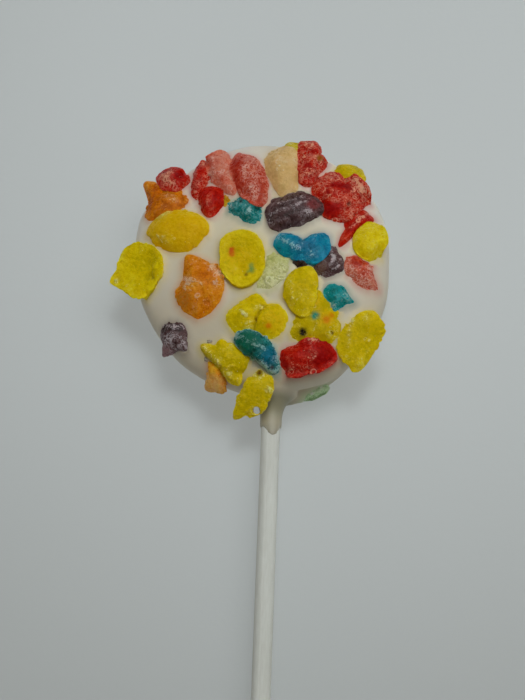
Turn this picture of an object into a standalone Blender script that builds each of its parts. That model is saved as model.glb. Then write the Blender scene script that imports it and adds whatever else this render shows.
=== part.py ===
"""A flattened cake pop lying on its back: a coated head set with cereal flakes, and its paper stick.

Every size below is in millimetres, and is turned into metres where a mesh is made. The origin is the middle
of the head's flat back, +Z is the decorated face, and the stick runs along -Y. Bearings are in degrees, with
0 along +X and 90 along +Y.
"""

import math
import random
from collections import namedtuple

import bmesh
import bpy
import numpy as np
from mathutils import Vector

MM = 0.001

# The head, without its flakes
HEAD_RADIUS = 24.2
HEAD_HEIGHT = 15.5
WIDEST_HEIGHT = 8.6
CROWN_SQUARENESS = 2.7
CREASE_RADIUS = 22.9
CREASE_HEIGHT = 5.6
FOOT_RADIUS = 22.6
FOOT_HEIGHT = 2.8
BACK_RADIUS = 21.2
HEAD_STEPS = 56
CROWN_STEPS = 9
SIDE_STEPS = 2
FOOT_STEPS = 3
AXIS_RADIUS = 1.0
SLOPE_STEP = 0.05

# Where the rim is fuller or flatter than a circle: bearing, height of the bump, half its width in degrees
RIM_BUMPS = (
    (155.0, 1.4, 17.0),
    (98.0, 0.4, 12.0),
    (1.0, -0.8, 17.0),
    (-57.0, 1.25, 15.0),
    (-148.0, -0.75, 24.0),
)

# The same for the foot, on top of the rim's: the coat pooled there, beside the stick
FOOT_BUMPS = ((-80.0, 2.6, 14.0),)

# The stick, and the coat's neck where it enters the head
STICK_RADIUS = 1.75
STICK_LENGTH = 150.0
STICK_INSIDE = 25.0
STICK_X = 2.1
STICK_Z = 6.5
STICK_EDGE = 0.25
STICK_EDGE_STEPS = 2
STICK_SIDES = 24
SHARP_ANGLE = 40.0
NECK_ROOT_RADIUS = 4.9
NECK_LIP_RADIUS = 2.4
NECK_ROOT = 15.0
NECK_WALL = 24.8
NECK_LIP = 27.2
NECK_HOLLOW = 2.6
NECK_STEPS = 6
GAP = 0.3

# The flakes: half the thickness, how far their undersides sink into the coat, and how full their outline is
FLAKE_HALF = 0.9
FLAKE_SINK = 0.8
FLAKE_FULLNESS = 0.7
FLAKE_SPOKES = 20
FLAKE_RINGS = 6
FLAKE_DRAPE = 0.45
DEEPEST_DROP = 3.0
RIM_MARGIN = 0.6
UNDERSIDE = -0.1
REACH_RANGE = (0.97, 1.03)
THICKNESS_RANGE = (0.8, 1.1)
FLAKE_SEED = 11

FOOD_ROUGHNESS = 0.35
PAPER_ROUGHNESS = 0.75
PAPER = (0.80, 0.80, 0.77)
COLOURS = {
    "coat": (0.86, 0.84, 0.78),
    "yellow": (0.80, 0.68, 0.03),
    "golden": (0.78, 0.56, 0.04),
    "orange": (0.80, 0.30, 0.03),
    "peach": (0.80, 0.56, 0.30),
    "red": (0.55, 0.03, 0.02),
    "pink": (0.62, 0.14, 0.12),
    "purple": (0.12, 0.06, 0.09),
    "blue": (0.01, 0.24, 0.45),
    "teal": (0.01, 0.27, 0.32),
    "cream": (0.75, 0.72, 0.42),
    "green": (0.20, 0.50, 0.28),
}

# A flake's seat is where it meets the coat, and its reach goes out from there in its own plane to the
# east, north-east, north, north-west, west, south-west, south and south-east. A corner is a bearing with a
# longer or shorter reach between two of those. The lift is from the coat to the flake's middle, a cup is a
# raised rim, and a flake on the rim leans outward by its own angle instead of the coat's.
Flake = namedtuple("Flake", "name colour seat reach corners lift cup lean slide")
Flake.__new__.__defaults__ = ({}, 0.5, 0.0, None, (0.0, 0.0))

FLAKES = (
    Flake("left_cup", "yellow", (-21.5, -1.5), (4.4, 4.2, 4.8, 6.1, 5.8, 5.6, 6.1, 4.5),
          {195: 7.4}, 0.5, 0.6, 22),
    Flake("left_oval", "golden", (-15.2, 5.2), (6.1, 4.1, 3.7, 4.5, 6.4, 5.0, 4.6, 5.3), {}, 1.6),
    Flake("left_crumb", "orange", (-18.8, 10.9), (4.8, 4.5, 4.6, 5.5, 3.5, 4.0, 3.5, 4.6), {129: 7.8}),
    Flake("upper_left_sugared", "red", (-16.0, 15.0), (2.5, 2.4, 4.2, 5.2, 3.4, 1.8, 1.6, 1.8),
          {}, 1.6, 0.0, 28),
    Flake("upper_left_strip", "red", (-12.0, 15.1), (1.8, 3.0, 4.4, 1.6, 1.4, 2.5, 4.3, 1.6)),
    Flake("top_pale", "pink", (-8.2, 17.5), (2.6, 3.2, 5.0, 5.4, 3.2, 3.4, 4.8, 4.0), {287: 5.8}, 0.9),
    Flake("top_oval", "pink", (-2.5, 15.5), (3.5, 3.8, 5.0, 5.0, 3.2, 3.0, 5.3, 5.0),
          {114: 6.2, 291: 7.0}, 1.5),
    Flake("small_blob", "red", (-9.3, 11.0), (2.4, 2.5, 2.6, 3.0, 2.3, 2.7, 3.9, 2.6), {}, 1.3),
    Flake("upper_ragged", "teal", (-2.9, 9.0), (3.0, 1.8, 2.2, 2.8, 3.4, 1.8, 2.4, 3.5), {112: 3.0}),
    Flake("top_fan", "peach", (3.8, 17.6), (3.0, 3.9, 5.5, 4.4, 3.4, 3.7, 6.5, 3.7), {285: 6.2}, 1.0),
    Flake("top_behind", "yellow", (5.5, 21.6), (2.0, 2.4, 3.4, 3.0, 2.0, 2.0, 2.0, 2.0), {}, 0.4, 0.0, 35),
    Flake("top_knobs", "red", (8.7, 19.4), (3.1, 2.8, 5.4, 3.7, 2.3, 3.0, 6.6, 3.0), {116: 5.2}, 1.0),
    Flake("upper_right_behind", "yellow", (15.0, 17.2), (3.9, 4.0, 3.1, 2.4, 2.0, 2.0, 2.2, 3.0),
          {}, 0.4, 0.0, 35),
    Flake("upper_right_lobes", "red", (14.5, 12.2), (5.8, 5.2, 4.4, 4.8, 5.2, 4.4, 5.8, 4.8),
          {68: 5.4, 110: 5.3, 244: 6.0}, 1.5),
    Flake("right_shard", "red", (17.8, 6.6), (2.4, 3.1, 3.5, 3.0, 2.7, 4.0, 1.9, 2.0), {22: 3.3, 239: 6.4}),
    Flake("upper_long", "purple", (6.0, 8.7), (5.7, 4.1, 3.1, 3.1, 5.1, 5.8, 3.7, 3.8), {}, 1.9),
    Flake("middle_notched", "blue", (7.9, 1.5), (5.4, 3.4, 1.5, 3.6, 5.5, 3.4, 2.8, 4.3),
          {36: 4.7, 141: 4.6, 297: 4.2}, 1.5),
    Flake("right_sugared", "purple", (12.2, -1.6), (3.3, 3.1, 2.6, 2.2, 1.9, 2.8, 2.6, 2.8),
          {65: 3.7, 337: 3.6}),
    Flake("right_oval", "yellow", (19.7, 3.5), (3.4, 3.7, 3.4, 2.8, 3.3, 4.2, 4.5, 3.2), {}, 1.6),
    Flake("right_tail", "pink", (18.8, -2.7), (2.1, 2.4, 2.4, 3.7, 3.4, 2.1, 3.3, 4.4)),
    Flake("middle_cup", "yellow", (-3.1, -0.8), (4.1, 4.7, 5.5, 5.3, 4.1, 4.6, 5.9, 5.0), {}, 0.6, 0.8),
    Flake("sunk_pale", "cream", (2.6, -3.6), (2.6, 4.2, 4.5, 2.6, 2.2, 4.4, 2.6, 2.0), {}, -0.3),
    Flake("left_lumps", "orange", (-10.9, -6.1), (4.6, 4.8, 5.3, 4.3, 4.0, 5.1, 6.2, 5.1),
          {115: 6.6, 199: 4.7}, 0.9),
    Flake("centre_oval", "yellow", (7.6, -7.1), (2.9, 4.2, 4.6, 3.2, 3.1, 3.7, 5.3, 3.5), {65: 5.0}, 1.5),
    Flake("centre_speckled", "yellow", (11.2, -12.2), (3.8, 3.3, 5.6, 3.5, 4.8, 5.2, 4.5, 4.6), {342: 4.5}),
    Flake("lower_lobes", "yellow", (-0.3, -11.7), (5.8, 2.8, 4.3, 3.4, 5.5, 5.0, 3.5, 6.0), {25: 4.8}, 0.7),
    Flake("right_chip", "teal", (14.5, -7.8), (2.5, 2.1, 2.1, 2.6, 2.7, 2.1, 2.8, 2.2), {343: 2.9}),
    Flake("lower_right_rim", "yellow", (17.4, -14.2), (5.3, 5.6, 3.1, 2.2, 2.7, 4.4, 7.2, 4.9),
          {14: 5.9}, 0.7, 0.3, 28),
    Flake("lower_oval", "red", (9.1, -18.8), (5.5, 3.9, 3.3, 2.9, 4.9, 5.2, 3.4, 3.8), {}, 1.4),
    Flake("lower_diagonal", "teal", (0.0, -18.1), (3.9, 2.9, 3.4, 4.8, 3.4, 1.8, 2.0, 5.5),
          {160: 4.7, 338: 4.7}, 2.0),
    Flake("lower_left_curl", "purple", (-15.7, -15.0), (3.2, 3.1, 2.7, 3.0, 2.9, 3.4, 3.0, 4.2), {238: 4.2}),
    Flake("lower_tail", "yellow", (-5.7, -20.1), (4.4, 3.0, 3.7, 4.9, 2.4, 1.5, 2.8, 4.4),
          {146: 5.6, 292: 4.8}, 1.1),
    Flake("bottom_left_rim", "orange", (-7.8, -21.8), (2.0, 2.0, 2.8, 1.7, 1.5, 2.9, 4.1, 3.2),
          {234: 3.8}, 0.5, 0.0, 45),
    Flake("bottom_rim", "yellow", (-1.6, -22.6), (4.0, 4.4, 3.2, 2.2, 2.4, 4.2, 4.5, 3.9),
          {229: 5.7}, 0.9, 0.0, 25, (0.6, -3.1)),
)

# One more stands on edge against the foot
SIDE_FLAKE = Flake("foot_sliver", "green", (0.0, 0.0), (2.4, 2.2, 1.9, 2.2, 3.5, 2.1, 1.6, 1.6))
SIDE_FLAKE_BEARING = -65.5
SIDE_FLAKE_RADIUS = 24.6
SIDE_FLAKE_HEIGHT = 2.9
SIDE_FLAKE_TILT = 12.0


def clear_scene():
    for old in list(bpy.data.objects):
        bpy.data.objects.remove(old, do_unlink=True)


def new_collection(name):
    made = bpy.data.collections.new(name)
    bpy.context.scene.collection.children.link(made)
    return made


def material(name, colour, roughness):
    made = bpy.data.materials.new(name)
    made.use_nodes = True
    shader = made.node_tree.nodes["Principled BSDF"]
    shader.inputs["Base Color"].default_value = (*colour, 1.0)
    shader.inputs["Roughness"].default_value = roughness
    shader.inputs["Metallic"].default_value = 0.0
    return made


def mesh_object(name, mesh, collection, finish):
    made = bpy.data.objects.new(name, mesh)
    collection.objects.link(made)
    mesh.materials.clear()
    mesh.materials.append(finish)
    return made


def bake_modifiers(obj):
    """Puts the evaluated mesh in the object's place and drops its modifiers."""
    graph = bpy.context.evaluated_depsgraph_get()
    mesh = bpy.data.meshes.new_from_object(obj.evaluated_get(graph))
    obj.modifiers.clear()
    obj.data = mesh


def turned(name, profile, steps, collection, finish):
    """A solid of revolution about Z from (radius, height) points in mm that run down its outer side."""
    mesh = bpy.data.meshes.new(name)
    points = [(radius * MM, 0.0, height * MM) for radius, height in profile]
    mesh.from_pydata(points, [(i, i + 1) for i in range(len(points) - 1)], [])
    made = mesh_object(name, mesh, collection, finish)
    screw = made.modifiers.new("Turn", "SCREW")
    screw.steps = steps
    screw.render_steps = steps
    screw.use_merge_vertices = True
    screw.merge_threshold = 0.0001
    bake_modifiers(made)
    return made


def angle_between(bearing, other):
    return abs((bearing - other + 180.0) % 360.0 - 180.0)


def bumps_at(bearing, bumps):
    return sum(height * math.exp(-((angle_between(bearing, middle) / half_width) ** 2))
               for middle, height, half_width in bumps)


def rim_radius(bearing):
    """The widest radius of the head at a bearing, with the unevenness of a dipped coat."""
    return HEAD_RADIUS + bumps_at(bearing, RIM_BUMPS)


def crown_height(x, y):
    """The height of the coat's upper face over a point, level with the widest part outside the rim."""
    share = math.hypot(x, y) / rim_radius(math.degrees(math.atan2(y, x)))
    drop = 1.0 - min(share, 1.0) ** CROWN_SQUARENESS
    return WIDEST_HEIGHT + (HEAD_HEIGHT - WIDEST_HEIGHT) * drop ** (1.0 / CROWN_SQUARENESS)


def crown_normal(x, y):
    slope_x = (crown_height(x + SLOPE_STEP, y) - crown_height(x - SLOPE_STEP, y)) / (2.0 * SLOPE_STEP)
    slope_y = (crown_height(x, y + SLOPE_STEP) - crown_height(x, y - SLOPE_STEP)) / (2.0 * SLOPE_STEP)
    return Vector((-slope_x, -slope_y, 1.0)).normalized()


def head_profile():
    """Half the head's outline: the crown, the side down to the crease, the foot and the flat back."""
    points = []
    for i in range(CROWN_STEPS + 1):
        turn = math.radians(90.0 * (1.0 - i / CROWN_STEPS))
        out = math.cos(turn) ** (2.0 / CROWN_SQUARENESS) if i else 0.0
        up = math.sin(turn) ** (2.0 / CROWN_SQUARENESS) if i < CROWN_STEPS else 0.0
        points.append((HEAD_RADIUS * out, WIDEST_HEIGHT + (HEAD_HEIGHT - WIDEST_HEIGHT) * up))
    for i in range(1, SIDE_STEPS + 1):
        share = i / SIDE_STEPS
        inset = (HEAD_RADIUS - CREASE_RADIUS) * (1.0 - math.cos(math.pi / 2.0 * share))
        points.append((HEAD_RADIUS - inset, WIDEST_HEIGHT - (WIDEST_HEIGHT - CREASE_HEIGHT) * share))
    for i in range(1, SIDE_STEPS + 1):
        share = i / SIDE_STEPS
        swell = (FOOT_RADIUS - CREASE_RADIUS) * math.sin(math.pi / 2.0 * share)
        points.append((CREASE_RADIUS + swell, CREASE_HEIGHT - (CREASE_HEIGHT - FOOT_HEIGHT) * share))
    for i in range(1, FOOT_STEPS + 1):
        turn = math.pi / 2.0 * i / FOOT_STEPS
        out = BACK_RADIUS + (FOOT_RADIUS - BACK_RADIUS) * math.cos(turn)
        points.append((out, FOOT_HEIGHT * (1.0 - math.sin(turn))))
    points.append((0.0, 0.0))
    return points


def foot_swell(bearing, height):
    """How far the foot stands out past its plain profile, nothing at the crease and at the back."""
    if not 0.0 < height < CREASE_HEIGHT:
        return 0.0
    return bumps_at(bearing, FOOT_BUMPS) * math.sin(math.pi * height / CREASE_HEIGHT)


def make_head(collection, finish):
    head = turned("coated_head", head_profile(), HEAD_STEPS, collection, finish)
    for vertex in head.data.vertices:
        x, y, z = vertex.co / MM
        radius = math.hypot(x, y)
        if radius < AXIS_RADIUS:
            continue
        bearing = math.degrees(math.atan2(y, x))
        wider = radius * rim_radius(bearing) / HEAD_RADIUS + foot_swell(bearing, z)
        vertex.co.x *= wider / radius
        vertex.co.y *= wider / radius
    return head


def along_stick(obj):
    """Lays a shape turned about Z along the stick's axis, with its height running towards -Y."""
    obj.rotation_euler = (math.radians(90.0), 0.0, 0.0)
    obj.location = (STICK_X * MM, 0.0, STICK_Z * MM)


def make_neck(collection, finish):
    """The cone of coat that runs from the head's side onto the stick, hollowed like a fillet."""
    profile = [(0.0, NECK_LIP), (NECK_LIP_RADIUS, NECK_LIP)]
    for i in range(NECK_STEPS - 1, -1, -1):
        share = i / NECK_STEPS
        radius = NECK_LIP_RADIUS + (NECK_ROOT_RADIUS - NECK_LIP_RADIUS) * (1.0 - share) ** NECK_HOLLOW
        profile.append((radius, NECK_WALL + (NECK_LIP - NECK_WALL) * share))
    profile.append((NECK_ROOT_RADIUS, NECK_ROOT))
    profile.append((0.0, NECK_ROOT))
    neck = turned("neck", profile, STICK_SIDES, collection, finish)
    along_stick(neck)
    return neck


def make_rod(name, radius, start, end, collection, finish):
    """A round rod along the stick's axis between two distances from the head's middle."""
    build = bmesh.new()
    length = (end - start) * MM
    bmesh.ops.create_cone(build, cap_ends=True, segments=STICK_SIDES, radius1=radius * MM,
                          radius2=radius * MM, depth=length)
    bmesh.ops.translate(build, vec=(0.0, 0.0, start * MM + length / 2.0), verts=build.verts)
    mesh = bpy.data.meshes.new(name)
    build.to_mesh(mesh)
    build.free()
    rod = mesh_object(name, mesh, collection, finish)
    along_stick(rod)
    return rod


def make_stick(collection):
    inner_end = HEAD_RADIUS - STICK_INSIDE
    stick = make_rod("paper_stick", STICK_RADIUS, inner_end, inner_end + STICK_LENGTH, collection,
                     material("paper", PAPER, PAPER_ROUGHNESS))
    bevel = stick.modifiers.new("Worn ends", "BEVEL")
    bevel.width = STICK_EDGE * MM
    bevel.segments = STICK_EDGE_STEPS
    bevel.limit_method = "ANGLE"
    stick.data.shade_smooth()
    stick.data.set_sharp_from_angle(angle=math.radians(SHARP_ANGLE))
    return stick


def flake_frame(flake):
    """The middle of a flake and the directions of its east, north and outward side."""
    x, y = flake.seat
    out = crown_normal(x, y)
    if flake.lean is not None:
        lean = math.radians(flake.lean)
        bearing = math.atan2(y, x)
        out = Vector((math.cos(bearing) * math.sin(lean), math.sin(bearing) * math.sin(lean), math.cos(lean)))
    east = (Vector((1.0, 0.0, 0.0)) - out * out.x).normalized()
    north = out.cross(east)
    middle = Vector((x, y, crown_height(x, y))) + out * flake.lift
    return middle + east * flake.slide[0] + north * flake.slide[1], east, north, out


def side_flake_frame():
    """The same for the flake that stands against the foot, tilted back a little from upright."""
    bearing = math.radians(SIDE_FLAKE_BEARING)
    tilt = math.radians(SIDE_FLAKE_TILT)
    outward = Vector((math.cos(bearing), math.sin(bearing), 0.0))
    out = outward * math.cos(tilt) + Vector((0.0, 0.0, math.sin(tilt)))
    east = Vector((0.0, 0.0, 1.0)).cross(outward)
    north = out.cross(east)
    return outward * SIDE_FLAKE_RADIUS + Vector((0.0, 0.0, SIDE_FLAKE_HEIGHT)), east, north, out


def reach_at(flake, bearing):
    """How far a flake goes from its seat at a bearing, between the reaches and corners it was given."""
    known = {45 * i: reach for i, reach in enumerate(flake.reach)}
    known.update(flake.corners)
    bearings = sorted(known)
    return float(np.interp(bearing, bearings, [known[b] for b in bearings], period=360))


def settle(point, upper):
    """Bends a flake's upper side partly to the coat, and sinks its underside into the coat."""
    if math.hypot(point.x, point.y) > rim_radius(math.degrees(math.atan2(point.y, point.x))) - RIM_MARGIN:
        return
    above = point.z - crown_height(point.x, point.y)
    if upper:
        point.z -= FLAKE_DRAPE * max(above - 2.0 * FLAKE_HALF, 0.0)
    else:
        point.z -= min(max(above + FLAKE_SINK, 0.0), DEEPEST_DROP)


def make_flake(flake, frame, rests_on_crown, collection, finish, noise):
    """A flat round-edged body with the flake's own outline, its nearest spoke turned to each corner."""
    middle, east, north, out = frame
    half_spoke = 180.0 / FLAKE_SPOKES
    build = bmesh.new()
    bmesh.ops.create_uvsphere(build, u_segments=FLAKE_SPOKES, v_segments=FLAKE_RINGS, radius=1.0)
    for vertex in build.verts:
        x, y, z = vertex.co
        spread = min(math.hypot(x, y), 1.0) ** FLAKE_FULLNESS
        bearing = math.degrees(math.atan2(y, x))
        near = [corner for corner in flake.corners if angle_between(bearing, corner) <= half_spoke]
        bearing = near[0] if near else bearing
        reach = reach_at(flake, bearing) * spread * noise.uniform(*REACH_RANGE)
        bearing = math.radians(bearing)
        height = z * FLAKE_HALF * noise.uniform(*THICKNESS_RANGE) + flake.cup * (spread ** 2 - 0.5)
        point = middle + east * reach * math.cos(bearing) + north * reach * math.sin(bearing) + out * height
        if rests_on_crown:
            settle(point, z > UNDERSIDE)
        vertex.co = point * MM
    mesh = bpy.data.meshes.new(flake.name)
    build.to_mesh(mesh)
    build.free()
    return mesh_object(flake.name, mesh, collection, finish)


def join_all(target, collection):
    """One union of everything in a collection with the target, after which the collection is emptied."""
    union = target.modifiers.new("Join", "BOOLEAN")
    union.operation = "UNION"
    union.operand_type = "COLLECTION"
    union.collection = collection
    union.material_mode = "TRANSFER"
    bake_modifiers(target)
    for joined in list(collection.objects):
        bpy.data.objects.remove(joined, do_unlink=True)


def cut(target, cutter):
    cutter.hide_render = True
    cutter.display_type = "WIRE"
    bore = target.modifiers.new("Stick bore", "BOOLEAN")
    bore.operation = "DIFFERENCE"
    bore.object = cutter


def keep_outer_skin(obj):
    """Fills what the union sealed and drops loose scraps, by keeping only the largest connected surface."""
    build = bmesh.new()
    build.from_mesh(obj.data)
    waiting = set(build.verts)
    shells = []
    while waiting:
        shell = set()
        reached = [waiting.pop()]
        while reached:
            vertex = reached.pop()
            shell.add(vertex)
            for edge in vertex.link_edges:
                other = edge.other_vert(vertex)
                if other in waiting:
                    waiting.discard(other)
                    reached.append(other)
        shells.append(shell)
    largest = max(shells, key=len)
    loose = [vertex for vertex in build.verts if vertex not in largest]
    bmesh.ops.delete(build, geom=loose, context="VERTS")
    build.to_mesh(obj.data)
    build.free()


def build_cake_pop():
    clear_scene()
    parts = new_collection("cake_pop")
    toppings = new_collection("toppings")
    cutters = new_collection("cutters")
    finishes = {name: material(name, colour, FOOD_ROUGHNESS) for name, colour in COLOURS.items()}
    noise = random.Random(FLAKE_SEED)

    head = make_head(parts, finishes["coat"])
    make_neck(toppings, finishes["coat"])
    for flake in FLAKES:
        make_flake(flake, flake_frame(flake), True, toppings, finishes[flake.colour], noise)
    make_flake(SIDE_FLAKE, side_flake_frame(), False, toppings, finishes[SIDE_FLAKE.colour], noise)
    join_all(head, toppings)
    keep_outer_skin(head)

    make_stick(parts)
    bore = make_rod("stick_bore", STICK_RADIUS + GAP, HEAD_RADIUS - STICK_INSIDE - GAP,
                    NECK_LIP + STICK_RADIUS, cutters, finishes["coat"])
    cut(head, bore)


build_cake_pop()
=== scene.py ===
"""A flattened cake pop with scattered cereal flakes and a paper stick, lying on its back on a pale floor.

Sizes in the sections are in millimetres, and become metres where a mesh or a node tree is made. The origin is the
middle of the head's flat back, +Z is the decorated face, and the stick runs along -Y. Bearings are in degrees,
with 0 along +X and 90 along +Y.
"""

import math
from collections import namedtuple

import bmesh
import bpy
import numpy as np
from mathutils import Matrix, Vector


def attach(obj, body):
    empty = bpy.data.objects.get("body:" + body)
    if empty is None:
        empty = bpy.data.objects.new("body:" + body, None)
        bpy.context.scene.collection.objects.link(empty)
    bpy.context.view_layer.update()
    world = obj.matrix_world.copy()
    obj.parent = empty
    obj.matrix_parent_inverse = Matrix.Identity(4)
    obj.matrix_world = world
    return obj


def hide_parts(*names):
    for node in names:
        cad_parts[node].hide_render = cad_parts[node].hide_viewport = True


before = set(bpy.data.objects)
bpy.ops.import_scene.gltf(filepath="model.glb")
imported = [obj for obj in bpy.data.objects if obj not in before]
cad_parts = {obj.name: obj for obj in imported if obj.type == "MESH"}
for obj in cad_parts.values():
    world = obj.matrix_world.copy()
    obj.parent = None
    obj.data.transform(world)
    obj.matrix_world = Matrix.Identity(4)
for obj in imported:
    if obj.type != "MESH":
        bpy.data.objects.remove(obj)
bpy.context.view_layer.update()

# The coat. A flat round of cake was dipped in melted off-white coating and laid on its back to set, which left a
# softly domed face, a foot where the coating pooled, and a neck of it drawn out along the stick to a rounded tip.

MM = 0.001

HEAD_RADIUS = 24.2
HEAD_HEIGHT = 15.5
WIDEST_HEIGHT = 8.6
CROWN_SQUARENESS = 2.7
CREASE_RADIUS = 22.9
CREASE_HEIGHT = 5.6
FOOT_RADIUS = 22.6
FOOT_HEIGHT = 2.8
BACK_RADIUS = 21.2
CROWN_RINGS = 60
SIDE_RINGS = 12
FOOT_RINGS = 10
HEAD_SPOKES = 240

# Where the rim and the foot are fuller or flatter than a circle: bearing, height of the bump, half its width
RIM_BUMPS = ((155.0, 1.4, 17.0), (98.0, 0.4, 12.0), (1.0, -0.8, 17.0), (-57.0, 1.25, 15.0), (-148.0, -0.75, 24.0))
FOOT_BUMPS = ((-80.0, 2.6, 14.0),)

STICK_X = 2.1
STICK_Z = 6.5
STICK_RADIUS = 1.75
NECK_ROOT = 15.0
NECK_ROOT_RADIUS = 4.6
NECK_WALL = 23.9
NECK_LIP = 30.4
NECK_LIP_RADIUS = 1.93
NECK_HOLLOW = 3.6
NECK_RINGS = 24
NECK_SPOKES = 64
TONGUE_START = 22.0
TONGUE_END = 33.0
TONGUE_WIDTH = 2.5
TONGUE_TURN = 18.0
TONGUE_DEPTH = 0.32
TONGUE_THICKNESS = 0.54
TONGUE_SEGMENTS = 40
TONGUE_RINGS = 24
COAT_VOXEL = 0.3
SMOOTHING_SHARE = 0.5
SMOOTHING_ROUNDS = 8


def angle_between(bearing, other):
    return np.abs((bearing - other + 180.0) % 360.0 - 180.0)


def bumps_at(bearing, bumps):
    return sum(height * np.exp(-((angle_between(bearing, middle) / half) ** 2)) for middle, height, half in bumps)


def rim_radius(bearing):
    """The widest radius of the head at a bearing, with the unevenness of a dipped coat."""
    return HEAD_RADIUS + bumps_at(bearing, RIM_BUMPS)


def crown_height(x, y):
    """The height of the coat's upper face over a point, level with the widest part outside the rim."""
    share = np.hypot(x, y) / rim_radius(np.degrees(np.arctan2(y, x)))
    drop = 1.0 - np.minimum(share, 1.0) ** CROWN_SQUARENESS
    return WIDEST_HEIGHT + (HEAD_HEIGHT - WIDEST_HEIGHT) * drop ** (1.0 / CROWN_SQUARENESS)


def head_profile():
    """Radius and height of the head's outline: the crown, the side down to the crease, the foot and the back."""
    crown = np.linspace(math.pi / 2.0, 0.0, CROWN_RINGS + 1)[1:]
    side = np.linspace(0.0, 1.0, SIDE_RINGS + 1)[1:]
    foot = np.linspace(0.0, math.pi / 2.0, FOOT_RINGS + 1)[1:]
    radius = np.concatenate((
        HEAD_RADIUS * np.cos(crown) ** (2.0 / CROWN_SQUARENESS),
        HEAD_RADIUS - (HEAD_RADIUS - CREASE_RADIUS) * (1.0 - np.cos(math.pi / 2.0 * side)),
        CREASE_RADIUS + (FOOT_RADIUS - CREASE_RADIUS) * np.sin(math.pi / 2.0 * side),
        BACK_RADIUS + (FOOT_RADIUS - BACK_RADIUS) * np.cos(foot),
    ))
    height = np.concatenate((
        WIDEST_HEIGHT + (HEAD_HEIGHT - WIDEST_HEIGHT) * np.sin(crown) ** (2.0 / CROWN_SQUARENESS),
        WIDEST_HEIGHT - (WIDEST_HEIGHT - CREASE_HEIGHT) * side,
        CREASE_HEIGHT - (CREASE_HEIGHT - FOOT_HEIGHT) * side,
        FOOT_HEIGHT * (1.0 - np.sin(foot)),
    ))
    return radius, np.maximum(height, 0.0)


def mesh_from(name, points, faces):
    """A mesh from points in millimetres."""
    mesh = bpy.data.meshes.new(name)
    mesh.from_pydata((np.asarray(points) * MM).tolist(), [], faces)
    mesh.update()
    return mesh


def lathe(name, rings, top, bottom):
    """A closed skin through rings of points, all with as many points, shut at its two ends by single points."""
    count, spokes = rings.shape[:2]
    points = np.concatenate((rings.reshape(-1, 3), [top, bottom]))
    faces = []
    for ring in range(count - 1):
        for spoke in range(spokes):
            after = (spoke + 1) % spokes
            faces.append((ring * spokes + spoke, (ring + 1) * spokes + spoke,
                          (ring + 1) * spokes + after, ring * spokes + after))
    last = (count - 1) * spokes
    for spoke in range(spokes):
        after = (spoke + 1) % spokes
        faces.append((count * spokes, spoke, after))
        faces.append((count * spokes + 1, last + after, last + spoke))
    return mesh_from(name, points, faces)


def new_object(name, mesh):
    made = bpy.data.objects.new(name, mesh)
    bpy.context.scene.collection.objects.link(made)
    return made


def head_mesh():
    radius, height = head_profile()
    bearing = np.arange(HEAD_SPOKES) * 360.0 / HEAD_SPOKES
    swell = np.where(height < CREASE_HEIGHT, np.sin(math.pi * height / CREASE_HEIGHT), 0.0)
    reach = np.outer(radius, rim_radius(bearing) / HEAD_RADIUS) + np.outer(swell, bumps_at(bearing, FOOT_BUMPS))
    rings = np.stack((reach * np.cos(np.radians(bearing)), reach * np.sin(np.radians(bearing)),
                      np.repeat(height[:, None], HEAD_SPOKES, 1)), axis=2)
    return lathe("head", rings, (0.0, 0.0, HEAD_HEIGHT), (0.0, 0.0, 0.0))


def neck_mesh():
    """The cone of coating from the head's side onto the stick, hollowed like a fillet."""
    share = np.linspace(1.0, 0.0, NECK_RINGS)
    radius = NECK_LIP_RADIUS + (NECK_ROOT_RADIUS - NECK_LIP_RADIUS) * (1.0 - share) ** NECK_HOLLOW
    distance = NECK_WALL + (NECK_LIP - NECK_WALL) * share
    radius = np.append(radius, NECK_ROOT_RADIUS)
    distance = np.append(distance, NECK_ROOT)
    turn = np.radians(np.arange(NECK_SPOKES) * 360.0 / NECK_SPOKES)
    rings = np.stack((STICK_X + np.outer(radius, np.cos(turn)), -np.repeat(distance[:, None], NECK_SPOKES, 1),
                      STICK_Z + np.outer(radius, np.sin(turn))), axis=2)
    return lathe("neck", rings, (STICK_X, -NECK_LIP, STICK_Z), (STICK_X, -NECK_ROOT, STICK_Z))


def mesh_of(name, build):
    """The mesh that has been built, with its builder freed."""
    mesh = bpy.data.meshes.new(name)
    build.to_mesh(mesh)
    build.free()
    return mesh


def tongue_mesh():
    """The thin run of coating that crept on down the stick's upper side and set there in a rounded tip."""
    build = bmesh.new()
    bmesh.ops.create_uvsphere(build, u_segments=TONGUE_SEGMENTS, v_segments=TONGUE_RINGS, radius=1.0)
    middle = (TONGUE_START + TONGUE_END) / 2.0
    half_length = (TONGUE_END - TONGUE_START) / 2.0
    for vertex in build.verts:
        across = vertex.co.x * TONGUE_WIDTH
        out = STICK_RADIUS - TONGUE_DEPTH + TONGUE_THICKNESS * vertex.co.z
        turn = across / STICK_RADIUS + math.radians(TONGUE_TURN)
        vertex.co = Vector((STICK_X + out * math.sin(turn), -middle - half_length * vertex.co.y,
                            STICK_Z + out * math.cos(turn))) * MM
    return mesh_of("tongue", build)


def settle_modifiers(made):
    """Puts the shape that an object's modifiers give it into a plain mesh, and removes them."""
    graph = bpy.context.evaluated_depsgraph_get()
    mesh = bpy.data.meshes.new_from_object(made.evaluated_get(graph))
    made.modifiers.clear()
    made.data = mesh


def join_meshes(name, meshes):
    build = bmesh.new()
    for mesh in meshes:
        build.from_mesh(mesh)
    bmesh.ops.recalc_face_normals(build, faces=build.faces)
    return mesh_of(name, build)


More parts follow.
